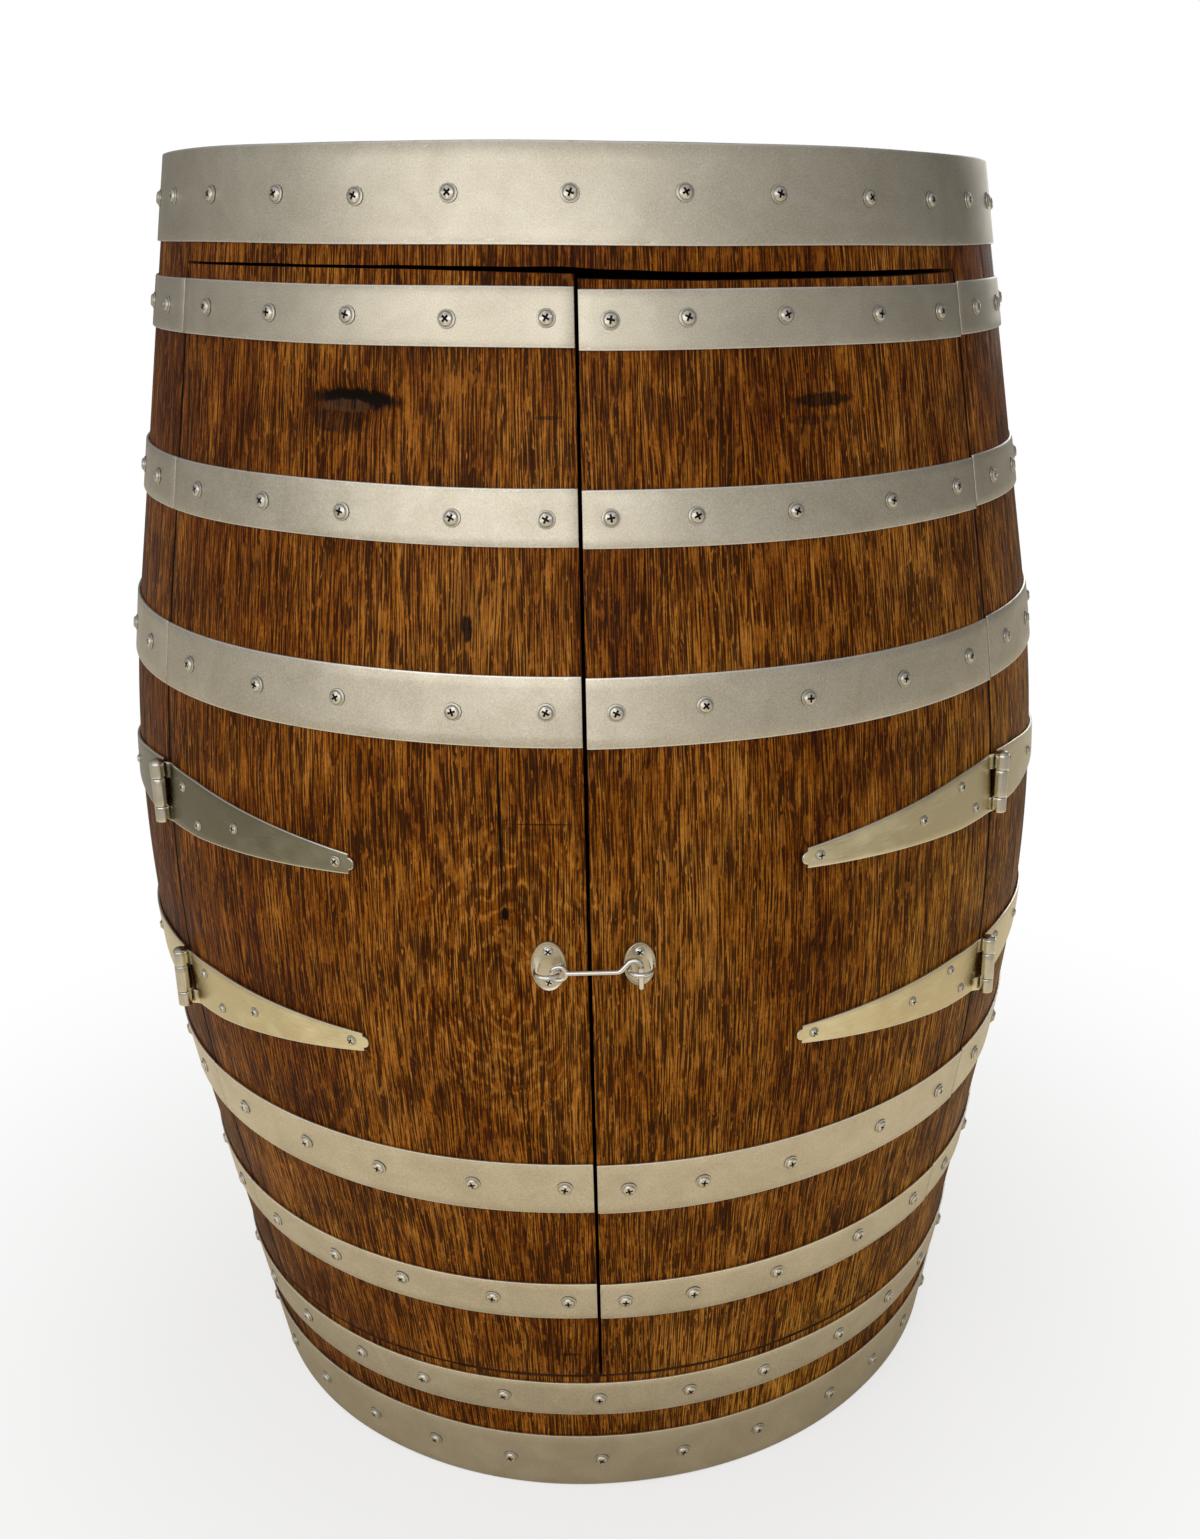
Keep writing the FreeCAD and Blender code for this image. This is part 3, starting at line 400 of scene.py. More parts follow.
def from_spot(finish, place, turn, height, wide, deep, tall):
    """Distance from a spot of the barrel, as a share of a size in each direction."""
    away = finish.away(place, on_barrel(math.radians(turn), height, 0.0))
    return finish.reach(finish.stretch(away, 1 / wide, 1 / deep, 1 / tall))


def blemish(finish, place, ragged, turn, height, wide, tall, dark):
    """dark inside a blemish and 0 outside, with a ragged edge."""
    far = from_spot(finish, place, turn, height, wide, BLEMISH_DEEP, tall)
    return finish.step(finish.plus(far, ragged), 1.05, 0.7, 0.0, dark)


def varnished_oak():
    """Dark varnished oak: upright pores, soft bands, ray flecks, stains, and blemishes of the doors,
    with painted shade in the bark pocket and in the gaps by the hinges, and painted sheen on the right.

    grain is (across, along, board) in metres, and board is (tone, figure, dark edge: stain and painted
    shade of its gap)."""
    oak = Finish("dark_varnished_oak")
    grain, board, place = oak.mark("grain"), oak.mark("board"), oak.place()
    sway = oak.noise(grain, 26, 9, 9, 2.0)
    across = oak.plus(oak.part(grain, 0), oak.times(oak.centred(sway), 0.005))
    run = oak.add("CombineXYZ", {0: across, 1: oak.part(grain, 1), 2: oak.part(grain, 2)}).outputs[0]

    streaks = oak.noise(run, 700, 17, 31, 2.0, 0.65, 0.05)
    hairs = oak.noise(run, 1050, 46, 40, 1.0, 0.6)
    bands = oak.noise(run, 90, 4.0, 17, 2.0, 0.5)
    cloud = oak.noise(run, 42, 24, 13, 3.0, 0.6, 0.4)
    curl = oak.noise(run, 440, 300, 19, 3.0, 0.75, 0.4)
    stain = oak.noise(place, 9, 9, 6, 2.0, 0.6)

    # pores: thin dark lines, where a long slow noise crosses its middle, broken into dashes
    slow = oak.noise(run, 700, 11, 7, 1.0, 0.5)
    lines = oak.step(oak.math("ABSOLUTE", oak.centred(slow)), 0.095, 0.040)
    dashes = oak.step(oak.noise(run, 420, 75, 12, 2.0, 0.6), 0.36, 0.42)
    lines = oak.times(lines, dashes)

    # ray flecks: small pale patches in which the pores fade, thickest on the figured boards
    fleck_noise = oak.noise(run, 135, 42, 23, 2.0, 0.6, 0.3)
    figure = oak.part(board, 1)
    fleck_edge = oak.add_share(figure, -0.05, 0.62)
    flecks = oak.step(oak.math("SUBTRACT", fleck_noise, fleck_edge), 0.0, 0.06)

    # arched figure round a point of the left door
    oval = from_spot(oak, place, FIGURE_TURN, FIGURE_HEIGHT, 0.05, 0.2, 0.085)
    ragged_oval = oak.plus(oval, oak.times(cloud, 0.5))
    arches = oak.math("SINE", oak.times(ragged_oval, 42.0))
    arches = oak.times(oak.step(arches, 0.1, 0.95), oak.step(oval, 1.7, 0.7))

    tone = oak.add_share(oak.centred(streaks), 0.35, 0.575)
    for share, noise in ((0.90, hairs), (0.55, bands), (0.55, cloud), (0.65, curl), (0.80, stain)):
        tone = oak.add_share(oak.centred(noise), share, tone)
    tone = oak.add_share(oak.part(board, 0), 0.07, tone)
    tone = oak.add_share(arches, 0.28, tone)
    body = oak.ramp(tone, (0.14, srgb(60, 21, 0)), (0.36, srgb(94, 43, 0)),
                    (0.50, srgb(118, 61, 3)), (0.64, srgb(140, 80, 13)), (0.88, srgb(174, 111, 40)))
    # a painted sheen: paler and more yellow-green low down on the right, redder high up on the left
    side = oak.plus(oak.part(place, 0), oak.times(oak.part(place, 2), -0.55))
    low_right_sheen = oak.times(oak.step(side, -0.62, 0.1), 0.8)
    body = oak.blend(low_right_sheen, body, (0.97, 1.10, 1.35, 1.0), "MULTIPLY")
    # and a painted pale sheen round the right-hand side
    side = oak.plus(oak.part(place, 0), oak.times(oak.part(place, 2), -0.25))
    body = oak.blend(oak.step(side, 0.045, 0.14), body, (1.25, 1.40, 1.15, 1.0), "MULTIPLY")
    body = oak.blend(oak.times(flecks, 0.26), body, srgb(158, 98, 32))

    fine = oak.times(oak.step(hairs, 0.48, 0.36), 0.80)
    pores = oak.larger(oak.times(oak.step(streaks, 0.42, 0.34), 0.50), fine)
    pores = oak.larger(pores, lines)
    pores = oak.times(pores, oak.add_share(flecks, -0.55, 1.0))
    colour = oak.blend(oak.times(pores, 0.90), body, srgb(36, 11, 0))

    ragged = oak.times(oak.centred(oak.noise(place, 260, 260, 110, 3.0)), 0.9)
    # the bark pocket: partly bark, partly painted shade in its recess
    dark = blemish(oak, place, ragged, *BARK_POCKET)
    for spot in BLEMISHES:
        dark = oak.larger(dark, blemish(oak, place, ragged, *spot))
    colour = oak.blend(dark, colour, srgb(16, 8, 3))
    # the pocket's lower floor, where its painted shade is lifted
    floor = oak.times(blemish(oak, place, ragged, *POCKET_FLOOR), oak.step(streaks, 0.32, 0.6))
    colour = oak.blend(floor, colour, srgb(86, 54, 28))
    # stain on the saw cuts beside the hinges, and painted shade of the gaps there
    stain_and_gap_shade = oak.times(oak.step(oak.part(board, 2), 0.78, 0.93), 0.88)
    colour = oak.blend(stain_and_gap_shade, colour, srgb(22, 10, 4))

    sunk = oak.bump(oak.times(pores, -1.0), 0.30, 0.0004)
    height = oak.bump(oak.plus(bands, streaks), 0.14, 0.0012, sunk)
    rough = oak.add_share(pores, 0.12, oak.add_share(cloud, 0.16, 0.34))
    oak.shader.inputs["Coat Weight"].default_value = 0.02
    oak.shader.inputs["Coat Roughness"].default_value = 0.2
    oak.shader.inputs["Specular IOR Level"].default_value = 0.05
    return oak.done(Base_Color=colour, Roughness=rough, Normal=height)


def plain_oak(name, dark, light, rough, across=320, along=16):
    """Bare or oiled oak with a quiet grain. grain is (across, along, board) in metres."""
    oak = Finish(name)
    grain, board = oak.mark("grain"), oak.mark("board")
    pores = oak.noise(grain, across, along, 31, 3.0, 0.6, 0.2)
    bands = oak.noise(grain, across * 0.2, along * 0.16, 17, 2.0)
    tone = oak.plus(oak.add_share(oak.centred(bands), 1.3, 0.5), oak.times(oak.part(board, 0), 0.30))
    body = oak.ramp(tone, (0.1, dark), (0.9, light))
    open_pores = oak.step(pores, 0.55, 0.68)
    deep = tuple(value * 0.45 for value in dark[:3]) + (1.0,)
    colour = oak.blend(oak.times(open_pores, 0.6), body, deep)
    height = oak.bump(pores, 0.25, 0.0005)
    return oak.done(Base_Color=colour, Roughness=oak.add_share(pores, 0.1, rough), Normal=height)


def end_grain(name, dark, light):
    """A sawn end: fine specks of open pores in rings across the board."""
    oak = Finish(name)
    place = oak.place()
    specks = oak.noise(place, 900, 900, 300, 2.0, 0.6)
    rings = oak.noise(place, 120, 120, 40, 2.0)
    body = oak.ramp(rings, (0.3, dark), (0.7, light))
    colour = oak.blend(oak.times(oak.step(specks, 0.52, 0.62), 0.55), body, srgb(32, 18, 9))
    return oak.done(Base_Color=colour, Roughness=0.62, Normal=oak.bump(specks, 0.3, 0.0004))


def hoop_metal():
    """Satin galvanised strip. strip is (along, across, hoop) in metres; edge.x is 1 at its edges."""
    zinc = Finish("satin_galvanised_strip")
    strip, edge = zinc.mark("strip"), zinc.part(zinc.mark("edge"), 0)
    grit = zinc.noise(strip, 900, 900, 7, 2.0, 0.8)
    cloud = zinc.noise(strip, 26, 34, 5, 3.0, 0.6, 0.5)
    scratch = zinc.step(zinc.noise(strip, 130, 1500, 23, 1.0, 0.6), 0.70, 0.76)
    chips = zinc.noise(strip, 160, 420, 3, 3.0, 0.7)
    # pale edges from wear, and partly a painted highlight along both long edges
    wear_and_edge_highlight = zinc.times(zinc.step(edge, 0.78, 0.92), zinc.step(chips, 0.25, 0.5))
    chipped = zinc.times(zinc.step(edge, 0.45, 0.8), zinc.step(chips, 0.60, 0.68))
    tone = zinc.add_share(zinc.centred(cloud), 0.5, 0.5)
    tone = zinc.add_share(zinc.centred(grit), 0.9, tone)
    body = zinc.ramp(tone, (0.1, srgb(178, 168, 148)), (0.5, srgb(213, 204, 184)),
                     (0.9, srgb(240, 234, 219)))
    pale = zinc.larger(zinc.times(wear_and_edge_highlight, 0.8), zinc.times(chipped, 0.6))
    colour = zinc.blend(zinc.larger(pale, zinc.times(scratch, 0.25)), body, srgb(250, 248, 242))
    rough = zinc.add_share(grit, 0.12, zinc.add_share(pale, -0.10, 0.37))
    height = zinc.bump(zinc.add_share(cloud, 3.0, grit), 0.12, 0.0005)
    return zinc.done(Base_Color=colour, Metallic=1.0, Roughness=rough, Normal=height)


def plated_metal(name, low, high, rough, brushed=0.2):
    """Bright plated steel, brushed a little along its length. strip is (along, across, piece).

    edge is (wear with a painted highlight, dirt with painted shade, darker towards a leaf's knuckle)."""
    plate = Finish(name)
    strip, edge = plate.mark("strip"), plate.mark("edge")
    lines = plate.noise(strip, 60, 2600, 3, 2.0, 0.6)
    cloud = plate.noise(strip, 40, 60, 5, 2.0)
    tone = plate.plus(plate.times(lines, 0.5), plate.times(cloud, 0.5))
    # edge.z: darker towards a leaf's knuckle
    tone = plate.add_share(plate.part(edge, 2), -0.36, tone)
    body = plate.ramp(tone, (0.3, low), (0.7, high))
    # pale edges from wear, and partly a painted highlight along them
    wear_and_edge_highlight = plate.times(plate.step(plate.part(edge, 0), 0.78, 0.92), 0.75)
    body = plate.blend(wear_and_edge_highlight, body, srgb(244, 242, 236))
    # edge.y darkens screw heads: dirt and painted shade at the rim, the dome's foot and the recess
    colour = plate.blend(plate.part(edge, 1), body, srgb(38, 30, 22))
    coarse = plate.add_share(cloud, 0.12, rough)
    height = plate.bump(lines, brushed, 0.0002)
    return plate.done(Base_Color=colour, Metallic=1.0, Roughness=coarse, Normal=height)


OAK = varnished_oak()
OAK_INSIDE = plain_oak("inside_of_the_staves", srgb(96, 60, 30), srgb(142, 98, 56), 0.5)
OAK_END = end_grain("sawn_stave_ends", srgb(58, 32, 14), srgb(96, 60, 30))
HEAD_OAK = plain_oak("head_oak", srgb(96, 56, 22), srgb(146, 94, 46), 0.42)
SHELF_OAK = plain_oak("shelf_oak", srgb(104, 64, 28), srgb(156, 106, 56), 0.42)
HOOP_ZINC = hoop_metal()
SCREW_ZINC = plated_metal("zinc_screws", srgb(214, 207, 190), srgb(242, 237, 225), 0.30, 0.05)
STRAP_ZINC = plated_metal("strap_hinge_zinc", srgb(206, 193, 157), srgb(255, 247, 213), 0.22)
# a darker copy of the strap finish: painted shade on the left upper hinge
LEFT_STRAP = plated_metal("shaded_strap_hinge", srgb(132, 127, 106), srgb(176, 171, 146), 0.22)
PIN_ZINC = plated_metal("hinge_pin_zinc", srgb(190, 184, 168), srgb(226, 221, 206), 0.16, 0.05)
CHROME = plated_metal("polished_hook", srgb(214, 212, 206), srgb(238, 237, 232), 0.06, 0.0)
PLATE_CHROME = plated_metal("satin_hook_plates", srgb(200, 188, 162), srgb(226, 216, 192), 0.28, 0.03)

# ---- staves

rng = np.random.default_rng(11)
JOINT_TURN = degrees_of(JOINT)
HALF_SEAM = degrees_of(SEAM_GAP) / 2
HINGE_TURN = degrees_of(HINGE_GAP)


def front_edges():
    """Nominal joints of the front staves, in degrees; the stave at the seam is sawn in two."""
    left = LEFT_EDGE + np.cumsum((0,) + LEFT_STAVES[:-1])
    right = np.cumsum(RIGHT_STAVES)
    return np.concatenate([left, right])


FRONT = front_edges()
FRONT_BOARDS = [(FRONT[i], FRONT[i + 1]) for i in range(len(FRONT) - 1)]
# tone and figure of each front board, from the left hinge to the right one
FRONT_LOOKS = [(-0.3, 0.2), (-0.1, 0.3), (0.2, 0.5), (0.5, 1.0), (0.1, 0.3), (0.3, 0.4), (0.2, 0.8),
               (0.4, 0.4), (0.2, 0.2)]
DOOR_LOW, DOOR_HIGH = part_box("left_door_staves")[0].z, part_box("left_door_staves")[1].z
SHORT_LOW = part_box("right_door_short_stave")[0].z
ABOVE_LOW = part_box("upper_front_staves")[0].z
BELOW_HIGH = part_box("lower_front_staves")[1].z
SIDE_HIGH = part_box("lower_side_stave")[1].z
POCKET_DEEP = 0.0042
PLANED = 0.00008         # half the depth of the planing marks
ROW_PITCH, BOARD_PITCH, POCKET_PITCH = 0.012, 0.005, 0.0022


def pocket_relief(turn, z):
    """Depth of the left door's bark pocket: exp(-1.6 x^2 - k y^2), x and y in its half sizes.

    k is 2.2 on the steep upper lip, and 0.35 on the scooped lower side."""
    place, height, wide, tall, _ = BARK_POCKET
    x = (turn - math.radians(place)) * BILGE / (wide * 1.15)
    y = (z - height) / (tall * 1.2)
    groove = np.exp(-(x ** 2) * 1.6) * np.exp(-(y ** 2) * np.where(y > 0, 2.2, 0.35))
    return POCKET_DEEP * groove * (np.abs(x) < 2.6)


def stave_wall(z):
    """Thickness of the wall: full up to the bevels inside the rims."""
    return np.interp(z, [0, RIM_BEVEL, HEIGHT - RIM_BEVEL, HEIGHT], [RIM_WALL, WALL, WALL, RIM_WALL])


def add_stave(shell, left, right, low, high, middle, look, seed, low_edge=None, high_edge=None,
              extra=(), out=0.0, wall=stave_wall, sawn=0):
    """One stave: a rounded board whose section is carried up the barrel, its edges radial.

    left, right and middle are degrees; middle is where the whole board's grain is centred. look is
    its tone and figure. low_edge and high_edge move its ends by the turn, extra is more rows, and
    sawn is the side, -1 or 1, whose edge is a saw cut beside a hinge, dark with stain and with
    painted shade of its gap."""
    centre, half_turn = math.radians((left + right) / 2), math.radians((right - left) / 2)
    rows = np.linspace(low, high, max(3, int((high - low) / ROW_PITCH)))
    stops = np.unique(np.concatenate([rows, [RIM_BEVEL, HEIGHT - RIM_BEVEL], extra]))
    stops = stops[(stops >= low) & (stops <= high)]
    z, inset = end_rows(stops, STAVE_ARRIS)
    half = wall_radius(z) * half_turn
    thick = wall(z)
    across = max(5, int(half.max() * 2 / (POCKET_PITCH if len(extra) else BOARD_PITCH)))
    aside, deep = rounded_section(half, thick, STAVE_ARRIS, across)
    columns = aside.shape[1] // 2
    # the edge beside a hinge: stain and painted shade of its gap
    stain_and_gap_shade = (aside * sawn > half[:, None] - 1.5 * STAVE_ARRIS) * 1.0
    inset, thick, half, z = inset[:, None], thick[:, None], half[:, None], z[:, None]
    aside = aside * (half - inset) / half
    deep = inset + deep * (thick - inset * 2) / thick
    turn = centre + aside / wall_radius(z)
    share = (z - low) / (high - low)
    height = z + 0 * turn
    if low_edge is not None:
        height = height + low_edge(turn) * (1 - share)
    if high_edge is not None:
        height = height + high_edge(turn) * share
    outside = np.arange(aside.shape[1]) < columns
    planed = PLANED * (1 + np.sin(turn * 31 + seed * 9) * np.sin(height * 23 + seed * 5))
    relief = np.where(outside, planed + pocket_relief(turn, height), 0)
    points = on_barrel(turn, height, out - deep - relief)
    from_middle = (turn - math.radians(middle)) * wall_radius(z)
    grain = triples(from_middle + deep * aside / half + seed * 0.37, height + seed * 1.7, seed)
    board = triples(look[0], look[1], stain_and_gap_shade * (height > DOOR_LOW) * (height < DOOR_HIGH))
    shell.grid(points, (grain, board), capped=True, cap_kind=2)
    # the inside face of the ring takes the inside finish
    rows, around = points.shape[:2]
    ring = shell.kinds[-1][:(rows - 1) * around].reshape(rows - 1, around)
    ring[:, columns:-1] = 1


BOARD_MARKS = ("grain", "board")


def board_piece(shell, name, body, node):
    """Finished staves, with their outside, inside and end finishes."""
    shell.piece(name, body, "varnished_oak", (OAK, OAK_INSIDE, OAK_END), [node], BOARD_MARKS)


def ragged_cut(amount, seed):
    """A hand-sawn edge: a few slow waves of its height along the girth."""
    def cut(turn):
        return amount * (np.sin(turn * 17 + seed) * 0.6 + np.sin(turn * 43 + seed * 2.3) * 0.4)
    return cut


def left_door_top(turn):
    """The left door's top edge rises from the seam towards its hinge, where the saw cut is thin."""
    return np.interp(np.degrees(turn), [-55, -19, -8, 0], [0.0032, 0.0029, 0.0018, 0.0009])


def right_door_top(turn):
    """The right door's top edge sags a little in its first half."""
    return np.interp(np.degrees(turn), [0, 13, 26, 41, 53], [-0.0017, -0.0028, -0.0022, -0.0016, 0.0])


def above_cut(turn):
    """The other side of the saw cut above the doors: lower over the right one."""
    sag = np.interp(np.degrees(turn), [-1, 3, 14], [0.0, -0.0015, -0.0028])
    return sag + ragged_cut(0.0002, 7.0)(turn)


def front_board(shell, index, low, high, left=None, right=None, **more):
    """A piece of a front board, with the grain that it shares with the rest of that board."""
    nominal = FRONT_BOARDS[index]
    gap = JOINT_TURN / 2
    left = nominal[0] + gap if left is None else left
    right = nominal[1] - gap if right is None else right
    add_stave(shell, left, right, low, high, sum(nominal) / 2, FRONT_LOOKS[index], 1 + index, **more)


def make_left_door_boards():
    """The left door's boards, from its hinge to the seam, with rows close together at the pocket."""
    shell = Shell()
    pocket_rows = np.arange(0.772, 0.824, 0.0011)
    last = len(LEFT_STAVES) - 1
    for index in range(len(LEFT_STAVES)):
        left = LEFT_EDGE + HINGE_TURN if index == 0 else None
        right = -HALF_SEAM if index == last else None
        extra = pocket_rows if index in (1, 2) else ()
        front_board(shell, index, DOOR_LOW, DOOR_HIGH, left, right, high_edge=left_door_top,
                    low_edge=ragged_cut(0.0004, 4.0), extra=extra, sawn=-1 if index == 0 else 0)
    board_piece(shell, "left_door_boards", "left_door", "left_door_staves")


def make_right_door_boards():
    """The right door's boards, from the seam on, and its short one beside the hinge."""
    shell = Shell()
    first, last = len(LEFT_STAVES) - 1, len(FRONT_BOARDS) - 2
    short_joint = FRONT[-2] - HINGE_TURN / 2
    for index in range(first, last + 1):
        left = HALF_SEAM if index == first else None
        right = short_joint if index == last else None
        front_board(shell, index, DOOR_LOW, DOOR_HIGH, left, right, high_edge=right_door_top,
                    low_edge=ragged_cut(0.0004, 5.0))
    board_piece(shell, "right_door_boards", "right_door", "right_door_staves")
    shell = Shell()
    front_board(shell, last + 1, SHORT_LOW, DOOR_HIGH, short_joint + JOINT_TURN,
                FRONT[-1] - HINGE_TURN, high_edge=right_door_top, low_edge=ragged_cut(0.0004, 6.0),
                sawn=1)
    board_piece(shell, "right_door_short_board", "right_door", "right_door_short_stave")


def make_cabinet_boards():
    """The uncut boards, and what is left of the front ones above and below the doors."""
    shell = Shell()
    for index in range(BACK_STAVES):
        left = RIGHT_EDGE + BACK_PITCH * index
        look = (rng.uniform(-1, 1), rng.uniform(0, 0.7))
        rng.uniform()   # keeps the later draws in their places
        sawn = {0: -1, BACK_STAVES - 1: 1}.get(index, 0)
        add_stave(shell, left + JOINT_TURN / 2, left + BACK_PITCH - JOINT_TURN / 2, 0.0, HEIGHT,
                  left + BACK_PITCH / 2, look, 20 + index, sawn=sawn)
    board_piece(shell, "cabinet_boards", "cabinet", "cabinet_staves")

    above, below, beside = Shell(), Shell(), Shell()
    last = len(FRONT_BOARDS) - 1
    for index in range(last + 1):
        front_board(above, index, ABOVE_LOW, HEIGHT, low_edge=above_cut)
    for index in range(last):
        front_board(below, index, 0.0, BELOW_HIGH, high_edge=ragged_cut(0.0004, 8.0))
    front_board(beside, last, 0.0, SIDE_HIGH, high_edge=ragged_cut(0.0003, 9.0))
    board_piece(above, "boards_above_the_doors", "cabinet", "upper_front_staves")
    board_piece(below, "boards_below_the_doors", "cabinet", "lower_front_staves")
    board_piece(beside, "board_below_the_short_one", "cabinet", "lower_side_stave")


# ---- heads and shelf


PLANK_ARRIS = 0.0008


def add_plank(shell, edge, near, far, low, high, drop, tone, seed):
    """A plank of a round panel: its length at each place across is the circle's chord there.

    drop(radius) is how far its two faces are planed down near the rim."""
    share = np.linspace(-1, 1, 61)
    across = np.linspace(near + JOINT / 2, far - JOINT / 2, 9)
    across = across[np.abs(across) < edge]
    y = np.concatenate([across, across[::-1]])
    x = share[:, None] * np.sqrt(np.maximum(edge ** 2 - y ** 2, 0.0004 ** 2))
    down = drop(np.hypot(x, y))
    down[:, (y == across[0]) | (y == across[-1])] += PLANK_ARRIS
    z = np.where(np.arange(len(y)) < len(across), high - down, low + down)
    grain = triples(y + seed * 0.31, x + seed * 1.3, seed)
    shell.grid(triples(x, y, z), (grain, np.array([tone, 0, 0])), capped=True)


def make_panel(name, node, edge, joints, drop, finish, seed):
    """A round panel of planks between the joints."""
    low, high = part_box(node)[0].z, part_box(node)[1].z
    shell = Shell()
    for index in range(len(joints) - 1):
        add_plank(shell, edge, joints[index], joints[index + 1], low, high, drop, rng.uniform(-1, 1),
                  seed + index)
    shell.piece(name, "cabinet", "inside_oak", (finish,), [node], BOARD_MARKS)


def make_heads_and_shelf():
    """Two heads, bevelled both ways to a tongue, and a flat shelf."""
    bevel, half, tongue, tongue_long = 0.026, 0.011, 0.0027, 0.005
    for node in ("bottom_head", "top_head"):
        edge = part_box(node)[1].x
        neck = edge - tongue_long

        def planed(radius, neck=neck):
            """Down from the face to the tongue over the bevel's width."""
            return np.clip((radius - (neck - bevel)) / bevel, 0, 1) * (half - tongue)
        make_panel(f"{node}_planks", node, edge, np.linspace(-edge, edge, 8), planed, HEAD_OAK,
                   60 if node == "top_head" else 50)
    low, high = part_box("shelf")
    make_panel("shelf_planks", "shelf", high.y, np.linspace(low.y, high.y, 7),
               lambda radius: 0 * radius, SHELF_OAK, 70)


# ---- hoops and their screws

HOOP_ARRIS = 0.0006
CUT_HOOPS = ("upper_quarter_hoop", "upper_inner_hoop", "upper_bilge_hoop", "lower_bilge_hoop",
             "lower_inner_hoop")
WHOLE_HOOPS = ("upper_chime_hoop", "lower_quarter_hoop", "lower_chime_hoop")
LAP_TURN = 15
RIVET_ASIDE = 0.021
# the rivet's head: radius and height
RIVET = ((0.0, -0.001), (0.0045, -0.001), (0.0045, 0.0004), (0.0040, 0.0009), (0.0026, 0.0014),
         (0.0, 0.0016))
DENT, EDGE_WAVE = 0.00009, 0.00022


def hoop_range(node):
    """Low and high edge of a hoop; the top one ends level with the staves."""
    low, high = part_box(node)
    return low.z, HEIGHT if node == "upper_chime_hoop" else high.z


def band_radius(low, high, share):
    """Inside of a hoop: straight from the wall at its low edge to the wall at its high one."""
    return wall_radius(low) * (1 - share) + wall_radius(high) * share


def lean_between(low, high):
    """How far a normal to the wall tips upwards, between two heights."""
    return np.arctan2(wall_radius(low) - wall_radius(high), high - low)


def near_edge(aside, half, reach=0.005):
    """The edge mark: 1 on a strip's long edges and 0 from reach inwards."""
    return triples(np.clip(1 - (half - np.abs(aside)) / reach, 0, 1), 0, 0)


def add_band(shell, low, high, start, end, seed, seat=HOOP_SEAT):
    """A flat bar's section carried round the barrel, straight from its low to its high edge."""
    half = (high - low) / 2
    whole = end - start >= 360
    turns = np.radians(np.linspace(start, end, max(4, int((end - start) / 1.5))))
    if whole:
        turns = turns[:-1]
        inset = 0 * turns
    else:
        turns, inset = end_rows(turns, HOOP_ARRIS / BILGE)
        inset = inset * BILGE
    aside, deep = rounded_section(np.full(len(turns), half), HOOP_THICK, HOOP_ARRIS, 7)
    inset, turn = inset[:, None], turns[:, None]
    aside = aside * (half - inset) / half
    deep = inset + deep * (HOOP_THICK - inset * 2) / HOOP_THICK
    share = (aside + half) / (half * 2)
    radius = band_radius(low, high, share) + seat - deep
    # slow dents, always inwards, and an edge that isn't quite straight
    radius = radius - DENT * (1 + np.sin(turn * 13 + seed) * np.sin(turn * 5 + aside * 90))
    wave = EDGE_WAVE * np.sin(turn * 9 + seed) * (np.abs(aside) / half)
    points = round_axis(turn, radius, low + half + aside - wave)
    strip = triples(turn * BILGE, aside, seed)
    shell.grid(points, (strip, near_edge(aside, half)), loop=whole, capped=not whole)


def make_band(node, body, start, end, lapped=False):
    """A hoop or a part of one; a lapped one has its end riveted over its start at the back."""
    low, high = hoop_range(node)
    shell = Shell()
    add_band(shell, low, high, start, end, len(node) + low * 10)
    if lapped:
        add_band(shell, low, high, BACK_MIDDLE - LAP_TURN / 2, BACK_MIDDLE + LAP_TURN / 2, 3.0 + high,
                 HOOP_SEAT + HOOP_THICK)
        turns = math.radians(BACK_MIDDLE) + np.array([-1, 1]) * RIVET_ASIDE / BILGE
        radius = band_radius(low, high, 0.5) + HOOP_SEAT + HOOP_THICK
        head = turned(RIVET, 16)
        flat = head.reshape(-1, 3)
        shell.copies(flat, tube_faces(*head.shape[:2]), round_axis(turns, radius, (low + high) / 2),
                     upright_axes(turns, lean_between(low, high)), (flat, 0 * flat))
    shell.piece(f"{node}_strip", body, "hoop_steel", (HOOP_ZINC,), [node])


SCREW_TURNS = np.radians(np.array([-14, 14, 45])[None] + np.arange(0, 360, 90)[:, None]).ravel()


def screw_head(head, dome, tall, cross):
    """A washer head with a crossed recess: rings of twelve points; the recess rings dip at the arms.

    Returns its points, its faces, and where it is painted dark: dirt, and painted shade round its rim,
    at the foot of its dome and deepest in its recess."""
    arm = np.tile([1, 1, 0], 4)
    rings = [(head, 0), (head * 0.96, tall * 0.3), (dome, tall * 0.42), (dome * 0.84, tall * 0.85),
             (np.where(arm, dome * cross, dome * 0.22), tall),
             (np.where(arm, dome * cross * 0.8, dome * 0.16), tall * 0.3)]
    points = np.concatenate([triples(reach * np.cos(SCREW_TURNS), reach * np.sin(SCREW_TURNS), up)
                             for reach, up in rings])
    index = np.arange(len(points)).reshape(len(rings), 12)
    faces = np.vstack([tube_faces(len(rings), 12), cap_faces(index[0]), cap_faces(index[-1])])
    # painted dark per ring: dirt and painted shade round the rim and at the dome's foot, deepest in the
    # recess
    return points, faces, triples(0, np.repeat([0.8, 0.1, 0.5, 0.0, 0.1, 1.0], 12), 0)


def add_screws(shell, turns, heights, radii, lean, head, dome, tall, cross):
    """Screw heads at many places, each turned by chance and tipped a little."""
    girth, up, out = upright_axes(turns, lean).swapaxes(0, 1)
    spin = rng.uniform(0, math.pi, len(turns))[:, None]
    spun = np.stack([girth * np.cos(spin) + up * np.sin(spin),
                     up * np.cos(spin) - girth * np.sin(spin), out], 1)
    points, faces, edge = screw_head(head, dome, tall, cross)
    shell.copies(points, faces, round_axis(turns, radii, heights), spun, (points, edge))


